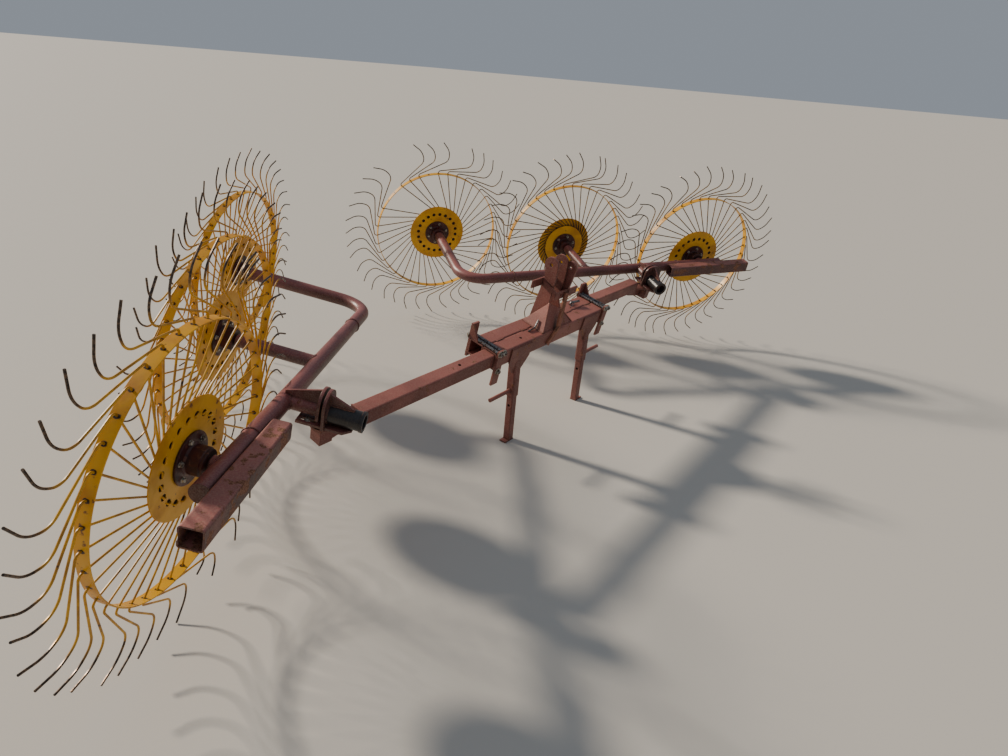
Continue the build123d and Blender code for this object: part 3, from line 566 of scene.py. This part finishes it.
def add_lathe(bm, profile, segments, matrix=None):
    """Turned shape round Y from pairs of radius and height; its profile closes both ends."""
    rings = []
    for i in range(segments):
        angle = i * 360 / segments
        ring = [in_wheel(radius, angle, out) for radius, out in profile]
        rings.append([bm.verts.new(matrix @ p if matrix else p) for p in ring])
    for i, ring in enumerate(rings):
        following = rings[(i + 1) % segments]
        for k in range(len(profile) - 1):
            bm.faces.new((ring[k], ring[k + 1], following[k + 1], following[k]))
    bmesh.ops.remove_doubles(bm, verts=bm.verts, dist=1e-6)
    bmesh.ops.dissolve_degenerate(bm, edges=bm.edges, dist=1e-7)


def add_bolt(bm, matrix, across, head, washer):
    """Chamfered hexagon on its washer, pointing along Y: width over flats and both heights."""
    washer_radius = across * 0.72
    washer_profile = [
        (0.0, 0.0), (washer_radius, 0.0), (washer_radius, washer * 0.7), (across * 0.66, washer),
        (0.0, washer),
    ]
    add_lathe(bm, washer_profile, 20, matrix)
    corner = across / 2 / math.cos(math.radians(30))
    top = washer + head
    rings = []
    for radius, out in ((corner, washer), (corner, washer + head * 0.8), (corner * 0.86, top)):
        rings.append([bm.verts.new(matrix @ in_wheel(radius, 60 * k, out)) for k in range(6)])
    for ring, following in zip(rings, rings[1:]):
        for k in range(6):
            bm.faces.new((ring[k], ring[(k + 1) % 6], following[(k + 1) % 6], following[k]))
    bm.faces.new(rings[-1])


# Zinc plated steel fastener, dulled by weather, with brown soil in its corners.
zinc, tree, shader, place = new_material("dulled_zinc_plate")
spots = speckle(tree, place, 6.0)
colour = blend(tree, step(tree, spots, 0.42, 0.68), "#B9B4A8", "#5E4E40")
tree.links.new(colour, shader.inputs["Base Color"])
shader.inputs["Metallic"].default_value = 0.85
tree.links.new(step(tree, spots, 0.3, 0.7, 0.28, 0.6), shader.inputs["Roughness"])

# Dark red primer on a greasy casting, brown where soil sticks.
hub_primer, tree, shader, place = new_material("dark_red_primer_on_casting")
cloud = speckle(tree, place, 30.0)
colour = blend(tree, step(tree, cloud, 0.35, 0.68), "#4B1D1A", "#2C1714")
colour = blend(tree, step(tree, speckle(tree, place, 8.0), 0.58, 0.70), colour, "#6B4030")
tree.links.new(colour, shader.inputs["Base Color"])
tree.links.new(step(tree, cloud, 0.3, 0.7, 0.34, 0.6), shader.inputs["Roughness"])
relief(tree, shader, speckle(tree, place, 4.0), 0.4)

# Near-black brown, matt and crumbly: painted shade inside the hook holes, shaped as caked soil.
hole_shade_plug_finish, tree, shader, place = new_material("painted_shade_plug_in_hook_holes")
crumbs = speckle(tree, place, 3.0, 6.0, 0.7)
colour = blend(tree, step(tree, crumbs, 0.35, 0.65), "#180E0A", "#38211A")
tree.links.new(colour, shader.inputs["Base Color"])
shader.inputs["Roughness"].default_value = 0.95
relief(tree, shader, crumbs, 1.0)

# from the flat a plate is cut on to the wheel's plane
TO_WHEEL = turn(90, "X")
# this wheel's plates were fitted the other way round
REVERSED_WHEELS = ("left_middle",)
# on these two wheels the wires' hooks are sunk in their holes and only the dark plug of painted shade
# shows
SUNKEN_HOOKS = ("left_rear", "left_front")
HOLE_ANGLES = [360 / HOOK_HOLES * (i + 0.5) for i in range(HOOK_HOLES)]


def clamp_plates_mesh(reversed_plates, sunken_hooks):
    """Large plate with the hook holes, small plate behind the spokes, and the wires' hooks."""
    way = -1 if reversed_plates else 1
    large_out = way * (WIRE_RADIUS + PLATE_THICK / 2)
    small_out = -way * (WIRE_RADIUS + PLATE_THICK / 2)
    outlines = [ring_of(LARGE_PLATE_RADIUS, 120), ring_of(HUB_RADIUS, 48)]
    for angle in HOLE_ANGLES:
        middle = in_wheel(HOOK_CIRCLE, angle)
        outlines.append(ring_of(HOOK_HOLE_RADIUS, 16, middle.x, middle.z))
    large = flat_plate(outlines, PLATE_THICK)
    large.transform(Matrix.Translation((0, large_out, 0)) @ TO_WHEEL)
    small = flat_plate([ring_of(SMALL_PLATE_RADIUS, 96), ring_of(HUB_RADIUS, 48)], PLATE_THICK)
    small.transform(Matrix.Translation((0, small_out, 0)) @ TO_WHEEL)
    bm = bmesh.new()
    bm.from_mesh(large)
    bm.from_mesh(small)
    if sunken_hooks:
        return bm
    out = large_out + way * (PLATE_THICK / 2 + WIRE_RADIUS * 0.8)
    low = large_out - way * PLATE_THICK
    for angle in HOLE_ANGLES:
        bow = [
            in_wheel(HOOK_CIRCLE - BOW_SKEW, angle - BOW_FOOT_SPAN, low),
            in_wheel(HOOK_CIRCLE - BOW_SKEW, angle - BOW_SPAN, out),
            in_wheel(HOOK_CIRCLE + BOW_SWELL, angle, out + way * BOW_RISE),
            in_wheel(HOOK_CIRCLE + BOW_SKEW, angle + BOW_SPAN, out),
            in_wheel(HOOK_CIRCLE + BOW_SKEW, angle + BOW_FOOT_SPAN, low),
        ]
        add_rod(bm, rounded(bow, BOW_BENDS, 3), WIRE_RADIUS * 0.9, 8)
    return bm


def hole_shade_plug_mesh(reversed_plates):
    """Dark plug that fills each hook hole to just behind the large plate's face, round the wires:
    painted shade inside the holes.
    """
    way = -1 if reversed_plates else 1
    radius = HOOK_HOLE_RADIUS + PLUG_PAST_HOLE
    heights = [
        (0.0, -PLUG_BEHIND), (radius, -PLUG_BEHIND), (radius, PLUG_EDGE),
        (radius * 0.5, PLUG_CROWN), (0.0, PLUG_TOP),
    ]
    profile = [(from_middle, way * height) for from_middle, height in heights]
    bm = bmesh.new()
    for angle in HOLE_ANGLES:
        add_lathe(bm, profile, 14, Matrix.Translation(in_wheel(HOOK_CIRCLE, angle)))
    return bm


def hub_mesh():
    """Turned hub: barrel, flange, shoulder and grease cap."""
    flange_from = WIRE_RADIUS + PLATE_THICK
    flange_to = flange_from + FLANGE_THICK
    cap_radius = HUB_RADIUS - CAP_IN
    profile = [
        (HUB_BORE, HUB_BACK), (HUB_RADIUS - HUB_EDGE, HUB_BACK), (HUB_RADIUS, HUB_BACK + HUB_EDGE),
        (HUB_RADIUS, flange_from), (FLANGE_RADIUS - FLANGE_EDGE, flange_from),
        (FLANGE_RADIUS, flange_from + FLANGE_EDGE), (FLANGE_RADIUS, flange_to - FLANGE_EDGE),
        (FLANGE_RADIUS - FLANGE_EDGE, flange_to), (HUB_RADIUS + HUB_FILLET, flange_to),
        (HUB_RADIUS, flange_to + HUB_FILLET), (HUB_RADIUS, HUB_FRONT - CAP_FROM - HUB_EDGE),
        (cap_radius, HUB_FRONT - CAP_FROM), (cap_radius, HUB_FRONT - CAP_EDGE),
        (cap_radius - CAP_EDGE, HUB_FRONT), (HUB_BORE, HUB_FRONT), (HUB_BORE, HUB_BACK),
    ]
    bm = bmesh.new()
    add_lathe(bm, profile, 64)
    return bm


def hub_bolts_mesh():
    """Six bolts through flange and plates, with a nut behind each, every one turned its own way."""
    bm = bmesh.new()
    for i in range(HUB_BOLTS):
        angle = 360 / HUB_BOLTS * i + 15
        seat = in_wheel(BOLT_CIRCLE, angle, WIRE_RADIUS + PLATE_THICK + FLANGE_THICK)
        add_bolt(bm, Matrix.Translation(seat) @ turn(17 * i, "Y"), *HUB_BOLT)
        back_seat = Matrix.Translation(in_wheel(BOLT_CIRCLE, angle, -WIRE_RADIUS - PLATE_THICK))
        add_bolt(bm, back_seat @ turn(180, "X") @ turn(23 * i, "Y"), *HUB_BOLT)
    return bm


for side in ("right", "left"):
    for wheel in WHEELS:
        label = side + "_" + wheel
        matrix = wheel_place(side, wheel)
        body = label + "_wheel"
        turned = label in REVERSED_WHEELS
        make_piece(
            label + "_clamp_plates", clamp_plates_mesh(turned, label in SUNKEN_HOOKS), matrix, body,
            yellow_enamel, [label + "_plate"],
        )
        make_piece(
            label + "_hub_casting", hub_mesh(), matrix, body,
            hub_primer, [label + "_hub"],
        )
        make_piece(label + "_hub_bolts", hub_bolts_mesh(), matrix, body, zinc)
        # a dark plug in each hook hole paints the shade inside it
        make_piece(label + "_hole_shade_plug", hole_shade_plug_mesh(turned), matrix, body, hole_shade_plug_finish)

# Frame, arms and pipes
# Welded square tubes and plates of mild steel, brushed with a red enamel that has faded to a chalky
# pink-brown in broad patches. Faces that look up are painted in that lighter colour as painted light on
# the tops, and the colour of the other faces is darkened as painted shade. Edges are worn to rust, and
# rust lies in patches of about 22 mm.
EDGE_WEAR = 0.004


def red_enamel(name, fresh_paint_in_shade, faded, rust_share, gloss, dust=0.22):
    """Old enamel over rust, with its share of rust, its roughness and its film of dust."""
    material, tree, shader, place = new_material(name)
    true_normal = node(tree, "ShaderNodeNewGeometry").outputs["Normal"]
    up = node(tree, "ShaderNodeSeparateXYZ", {0: true_normal}).outputs[2]
    broad = speckle(tree, place, 120.0)
    cloud = speckle(tree, place, 22.0)
    fine = speckle(tree, place, 3.0, 6.0, 0.7)
    # faces that look up take the second colour: painted light on the tops, added to the broad patches
    # of real fading
    painted_top_light = step(tree, up, 0.1, 0.9, 0.0, 0.75)
    fading_and_painted_top_light = maths(tree, "ADD", painted_top_light, step(tree, broad, 0.40, 0.75, 0.0, 0.50))
    paint = blend(tree, fading_and_painted_top_light, fresh_paint_in_shade, faded)
    rust = blend(tree, step(tree, fine, 0.35, 0.65), "#5A3020", "#8C5638")
    rounded_normal = node(tree, "ShaderNodeBevel", {"Radius": EDGE_WEAR}, samples=4).outputs[0]
    inputs = {0: rounded_normal, 1: true_normal}
    edge = node(tree, "ShaderNodeVectorMath", inputs, operation="DOT_PRODUCT").outputs["Value"]
    worn_edge = step(tree, edge, 0.995, 0.93)
    worn_edge = maths(tree, "MULTIPLY", worn_edge, step(tree, cloud, 0.38, 0.60))
    patches = step(tree, cloud, 1 - rust_share, 1.06 - rust_share)
    rusted = maths(tree, "MAXIMUM", patches, worn_edge)
    colour = blend(tree, rusted, paint, rust)
    colour = blend(tree, step(tree, fine, 0.35, 0.75, 0.0, dust), colour, "#C9B6A0")
    # soil and painted shade darken the paint where surfaces meet, as inside the stub
    colour = soil_and_painted_shade_in_corners(tree, colour, 30.0, 0.75)
    tree.links.new(colour, shader.inputs["Base Color"])
    tree.links.new(step(tree, rusted, 0, 1, gloss, 0.85), shader.inputs["Roughness"])
    relief(tree, shader, fine, 0.5, rounded_normal)
    return material


# each finish gives its paint first as on faces in painted shade, then as faded and as on lit tops
frame_enamel = red_enamel("faded_red_enamel_on_tube", "#5E201D", "#A66056", 0.38, 0.55)
pipe_enamel = red_enamel("maroon_enamel_on_pipe", "#451519", "#8A4849", 0.34, 0.40)
rusted_bar = red_enamel("rusted_mild_steel_bar", "#7A4030", "#B26A48", 0.50, 0.75)
stub_enamel = red_enamel("rust_stained_maroon_enamel", "#3E191C", "#A0605A", 0.46, 0.55)
dark_steel = red_enamel("greasy_dark_steel", "#121116", "#232227", 0.16, 0.34, 0.05)

NODE_FINISH = {
    "mast_strap": rusted_bar,
    "right_knuckle_sleeve": dark_steel,
    "left_knuckle_sleeve": dark_steel,
}
for side in ("right", "left"):
    NODE_FINISH[side + "_wing_stub"] = stub_enamel
    for node_name in ("_wing_pipe", "_wing_pivot", "_knuckle_plates"):
        NODE_FINISH[side + node_name] = pipe_enamel
for piece in list(bpy.context.scene.objects):
    if "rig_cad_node" not in piece or piece.hide_render:
        continue
    finish = NODE_FINISH.get(piece["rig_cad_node"], frame_enamel)
    for material_slot in piece.material_slots:
        material_slot.link = "OBJECT"
        material_slot.material = finish

# Clamp rods, nuts and pegs
# Threaded rods of 16 mm draw the clamp bars together over and under the beam, with zinc plated
# nuts on washers. A bent peg of round bar with its clip locks the rear tube.
ROD_RADIUS = 0.008
ROD_HALF = 0.118
ROD_APART = 0.014
ROD_RISE = 0.053
ROD_PLACES = ((-ROD_APART, ROD_RISE), (ROD_APART, ROD_RISE), (0.0, -ROD_RISE))
THREAD_PITCH = 0.003
THREAD_ROOT = 0.0001
THREAD_CREST = 0.0011
ROD_NUT = (0.024, 0.010, 0.003)
CLAMP_FACE = 0.102
CLAMP_MIDDLE = {"right": 0.525, "left": 0.485}
PEG_RADIUS = 0.0072
PEG_BEND = 0.010
CLIP_RADIUS = 0.0022
CLIP_BEND = 0.012
HOOK_RADIUS = 0.004
HOOK_BEND = 0.015
PEG_LINE = ((-0.300, -0.045, -0.010), (-0.300, -0.045, 0.062), (-0.365, -0.030, 0.064))
CLIP_LINE = (
    (-0.262, -0.020, 0.050), (-0.312, -0.030, 0.0605), (-0.338, -0.062, 0.060), (-0.288, -0.075, 0.054),
)
HOOK_LINE = ((0.212, 0.026, 0.049), (0.150, 0.022, 0.053), (0.120, 0.014, 0.088))


def add_thread(bm, matrix, low, high):
    """Threaded rod along Y, as ridges one pitch apart."""
    profile = [(0.0, low), (ROD_RADIUS, low)]
    for i in range(int((high - low) / THREAD_PITCH)):
        start = low + i * THREAD_PITCH
        profile.append((ROD_RADIUS + THREAD_ROOT, start + THREAD_PITCH * 0.1))
        profile.append((ROD_RADIUS + THREAD_CREST, start + THREAD_PITCH * 0.5))
    profile += [(ROD_RADIUS, high), (0.0, high)]
    add_lathe(bm, profile, 14, matrix)


# Bright steel with the grey of old grease, brown in its pits.
worn_steel, tree, shader, place = new_material("weathered_bright_steel")
spots = speckle(tree, place, 5.0)
colour = blend(tree, step(tree, spots, 0.40, 0.66), "#8E8F92", "#4A3C32")
tree.links.new(colour, shader.inputs["Base Color"])
shader.inputs["Metallic"].default_value = 0.8
tree.links.new(step(tree, spots, 0.3, 0.7, 0.30, 0.62), shader.inputs["Roughness"])

for side in ("right", "left"):
    bm = bmesh.new()
    nuts = bmesh.new()
    for rod_x, rod_z in ROD_PLACES:
        rod_place = Matrix.Translation((CLAMP_MIDDLE[side] + rod_x, 0, rod_z))
        add_thread(bm, rod_place, -ROD_HALF, ROD_HALF)
        for way in (1, -1):
            face = rod_place @ Matrix.Translation((0, way * CLAMP_FACE, 0)) @ turn(90 - 90 * way, "X")
            add_bolt(nuts, face @ turn(20 * rod_x / ROD_APART + 11, "Y"), *ROD_NUT)
    make_piece(side + "_clamp_threads", bm, beam_place(side), "frame", worn_steel)
    make_piece(side + "_clamp_nuts", nuts, beam_place(side), "frame", zinc)

bm = bmesh.new()
add_rod(bm, rounded([Vector(point) for point in PEG_LINE], (PEG_BEND,)), PEG_RADIUS)
add_rod(bm, rounded([Vector(point) for point in CLIP_LINE], (CLIP_BEND, CLIP_BEND)), CLIP_RADIUS, 8)
add_rod(bm, rounded([Vector(point) for point in HOOK_LINE], (HOOK_BEND,)), HOOK_RADIUS)
make_piece("beam_pegs", bm, beam_place(), "frame", worn_steel)

# Axle nuts
# A castle nut of 53.5 mm on a washer closes each axle behind its wheel. A split pin through the
# slots of its crown locks it. Nut and pin are zinc plated as the bolts are.
AXLE_NUT = (0.0535, 0.014, 0.003)
NUT_SEAT = -0.031
NUT_TURNS = {"front": 4, "middle": 23, "rear": 47}
CROWN_UP = 0.016
CROWN_INNER = 0.0145
CROWN_OUTER = 0.0215
CROWN_HEIGHT = 0.009
CROWN_EDGE = 0.001
TOOTH_ANGLES = (12, 30, 48)
SPLIT_PIN_HALF = 0.031
SPLIT_PIN_UP = 0.0225
SPLIT_PIN_RADIUS = 0.0022


def add_castle(bm, matrix):
    """Crown of a castle nut: six teeth with slots between them for the split pin."""
    corners = [
        (CROWN_INNER, 0.0), (CROWN_OUTER, 0.0), (CROWN_OUTER, CROWN_HEIGHT - CROWN_EDGE),
        (CROWN_OUTER - CROWN_EDGE, CROWN_HEIGHT), (CROWN_INNER, CROWN_HEIGHT),
    ]
    for tooth in range(6):
        rings = []
        for angle in TOOTH_ANGLES:
            places = [in_wheel(radius, 60 * tooth + angle, out) for radius, out in corners]
            rings.append([bm.verts.new(matrix @ place_in_nut) for place_in_nut in places])
        for ring, following in zip(rings, rings[1:]):
            for k in range(len(ring)):
                j = (k + 1) % len(ring)
                bm.faces.new((ring[k], ring[j], following[j], following[k]))
        bm.faces.new(rings[0][::-1])
        bm.faces.new(rings[-1])


for side in ("right", "left"):
    bm = bmesh.new()
    for wheel in WHEELS:
        seat = Matrix.Translation(hub_in_wing(wheel) + Vector((0, NUT_SEAT, 0)))
        nut_place = seat @ turn(180, "X") @ turn(NUT_TURNS[wheel], "Y")
        add_bolt(bm, nut_place, *AXLE_NUT)
        add_castle(bm, nut_place @ Matrix.Translation((0, CROWN_UP, 0)))
        pin = [in_wheel(SPLIT_PIN_HALF, angle, SPLIT_PIN_UP) for angle in (0, 180)]
        add_rod(bm, [nut_place @ point for point in pin], SPLIT_PIN_RADIUS, 8)
    make_piece(side + "_axle_nuts", bm, wing_place(side), side + "_wing", zinc)

# Weld beads
# Every joint of the frame is electric arc welded by hand: rippled beads of 7 mm, painted over with
# the same enamel as the steel on either side.
BEAD_RADIUS = 0.0036
ROUND_BEAD_RADIUS = 0.004
SEAM_BEAD_RADIUS = 0.0045
HEAVY_BEAD_RADIUS = 0.005
HALF_RIPPLE = 0.002
RING_PARTS = 32


def add_bead(bm, line, radius=BEAD_RADIUS):
    """Weld bead along a line, with a ripple every 4 mm."""
    points = []
    for start, end in zip(line, line[1:]):
        count = max(2, round((end - start).length / HALF_RIPPLE))
        points += [start.lerp(end, i / count) for i in range(count)]
    points.append(line[-1])
    radii = [radius * (1.12 if i % 2 else 0.9) for i in range(len(points))]
    radii[0] = radius * 0.3
    radii[-1] = radii[0]
    add_wire(bm, points, radii, 6)


def ring_line(middle, radius, saddle=0.0, way=1):
    """Closed run of points round a pipe along Y; saddle is the radius of a pipe that it meets."""
    points = []
    for i in range(RING_PARTS + 1):
        around = in_wheel(radius, 360 * i / RING_PARTS)
        around.y = way * math.sqrt(saddle ** 2 - around.z ** 2) if saddle else 0.0
        points.append(Vector(middle) + around)
    return points


# Start and end of each bead in the beam's place: four along the mast plates' feet, three round the
# gussets' feet, two up the gussets, five at the cross bracket and band, two along the sockets.
FRAME_BEADS = (
    ((0.051, -0.088, 0.046), (0.051, 0.074, 0.046)),
    ((0.039, -0.088, 0.046), (0.039, 0.074, 0.046)),
    ((-0.051, -0.088, 0.046), (-0.051, 0.074, 0.046)),
    ((-0.039, -0.088, 0.046), (-0.039, 0.074, 0.046)),
    ((0.136, -0.077, 0.046), (0.151, 0.080, 0.046)),
    ((0.150, 0.082, 0.046), (-0.129, 0.082, 0.046)),
    ((-0.116, -0.077, 0.046), (-0.131, 0.080, 0.046)),
    ((0.149, 0.081, 0.048), (0.052, 0.010, 0.173)),
    ((-0.129, 0.081, 0.048), (-0.052, 0.038, 0.122)),
    ((0.0515, -0.068, 0.291), (0.0515, 0.003, 0.270)),
    ((0.0515, -0.068, 0.267), (0.0515, 0.003, 0.247)),
    ((-0.0515, 0.039, 0.246), (-0.0515, 0.039, 0.205)),
    ((-0.0655, 0.039, 0.246), (-0.0655, 0.039, 0.205)),
    ((0.0595, 0.038, 0.247), (0.0595, 0.038, 0.228)),
    ((0.257, 0.092, 0.036), (0.426, 0.092, 0.036)),
    ((-0.257, 0.092, 0.036), (-0.426, 0.092, 0.036)),
)
# short beads in the groove between the two beam tubes, on either side of the mast
GROOVE_BEADS = (-0.42, -0.21, 0.21, 0.42)
GROOVE_BEAD_HALF = 0.03
GROOVE_UP = 0.043
bm = bmesh.new()
for start, end in FRAME_BEADS:
    add_bead(bm, [Vector(start), Vector(end)])
for middle in GROOVE_BEADS:
    ends = [Vector((middle + way * GROOVE_BEAD_HALF, 0, GROOVE_UP)) for way in (-1, 1)]
    add_bead(bm, ends, HEAVY_BEAD_RADIUS)
make_piece("frame_welds", bm, beam_place(), "frame", frame_enamel)

# Wing and knuckle welds
# On each wing beads run round the arms, the shaft and the pipe's two seams and along the stub. On
# the knuckle they run round the sleeve and along its web and base, beside a bolt and grease nipple.
PIPE_BACK = 0.155
PIPE_SKEW = 3.1
PIPE_RADIUS = 0.035
ARM_PIPE_RADIUS = 0.030
PIPE_SEAMS = (0.300, -0.940)
SHAFT_RADIUS = 0.028
SLEEVE_RADIUS = 0.040
CHEEK_REAR = -0.010
CHEEK_FRONT = 0.025
BEAD_OUT = 0.001
SEAM_OUT = 0.0005
STUB_BEADS = (0.230, 0.400, 0.600)
STUB_BEAD_LENGTH = 0.080
STUB_BEAD_OUT = 0.0315
STUB_BEAD_UP = 0.0165
WEB_HALF = 0.0055
WEB_FOOT = 0.0405
WEB_END = 0.122
WEB_SIDE_FROM = 0.042
WEB_SIDE_TO = 0.088
BASE_BEAD_FROM = 0.049
BASE_BEAD_TO = 0.030
BASE_UP = -0.037
STOP_BOLT = (0.018, 0.006, 0.002)
STOP_BOLT_PLACE = (0.028, -0.050, -0.038)
NIPPLE_PLACE = (-0.028, 0.085, 0.028)
NIPPLE_PROFILE = (
    (0.0, 0.0), (0.0045, 0.0), (0.0045, 0.004), (0.0028, 0.005), (0.0036, 0.009), (0.0024, 0.0115),
    (0.0, 0.012),
)


def wing_welds_mesh():
    """Beads of a wing in its own place."""
    bm = bmesh.new()
    for wheel in ("front", "middle"):
        x = hub_in_wing(wheel).x
        pipe_y = -PIPE_BACK + x * math.tan(math.radians(PIPE_SKEW))
        arm_ring = ring_line((x, pipe_y, 0), ARM_PIPE_RADIUS + BEAD_OUT, PIPE_RADIUS, -1)
        add_bead(bm, arm_ring, ROUND_BEAD_RADIUS)
    shaft_ring = ring_line((0, -PIPE_BACK, 0), SHAFT_RADIUS + BEAD_OUT, PIPE_RADIUS)
    add_bead(bm, shaft_ring, ROUND_BEAD_RADIUS)
    add_bead(bm, ring_line((0, CHEEK_REAR, 0), SHAFT_RADIUS + BEAD_OUT), ROUND_BEAD_RADIUS)
    pipe_turn = Matrix.Translation((0, -PIPE_BACK, 0)) @ turn(PIPE_SKEW, "Z")
    for seam in PIPE_SEAMS:
        to_seam = pipe_turn @ Matrix.Translation((seam, 0, 0)) @ turn(90, "Z")
        seam_ring = [to_seam @ point for point in ring_line((0, 0, 0), PIPE_RADIUS + SEAM_OUT)]
        add_bead(bm, seam_ring, SEAM_BEAD_RADIUS)
    for height in (STUB_BEAD_UP, -STUB_BEAD_UP):
        for start in STUB_BEADS:
            run = [Vector((x, STUB_BEAD_OUT, height)) for x in (start, start + STUB_BEAD_LENGTH)]
            add_bead(bm, [pipe_turn @ point for point in run], HEAVY_BEAD_RADIUS)
    return bm


def knuckle_welds_mesh():
    """Beads of a knuckle in its own place."""
    bm = bmesh.new()
    add_bead(bm, ring_line((0, CHEEK_FRONT, 0), SLEEVE_RADIUS + BEAD_OUT), ROUND_BEAD_RADIUS)
    cheek_y = CHEEK_FRONT + BEAD_OUT
    for x in (-WEB_HALF, WEB_HALF):
        add_bead(bm, [Vector((x, CHEEK_FRONT, WEB_FOOT)), Vector((x, WEB_END, WEB_FOOT))])
        add_bead(bm, [Vector((x, cheek_y, WEB_SIDE_FROM)), Vector((x, cheek_y, WEB_SIDE_TO))])
    for way in (-1, 1):
        ends = [Vector((way * x, CHEEK_FRONT, BASE_UP)) for x in (BASE_BEAD_FROM, BASE_BEAD_TO)]
        add_bead(bm, ends)
    return bm


for side in ("right", "left"):
    make_piece(side + "_wing_welds", wing_welds_mesh(), wing_place(side), side + "_wing", pipe_enamel)
    make_piece(
        side + "_knuckle_welds", knuckle_welds_mesh(), knuckle_place(side), side + "_knuckle",
        pipe_enamel,
    )
    bm = bmesh.new()
    add_bolt(bm, Matrix.Translation(STOP_BOLT_PLACE) @ turn(90, "X"), *STOP_BOLT)
    nipple_place = Matrix.Translation(NIPPLE_PLACE) @ turn(45, "Y") @ turn(90, "X")
    add_lathe(bm, NIPPLE_PROFILE, 16, nipple_place)
    make_piece(side + "_knuckle_bolt", bm, knuckle_place(side), side + "_knuckle", zinc)
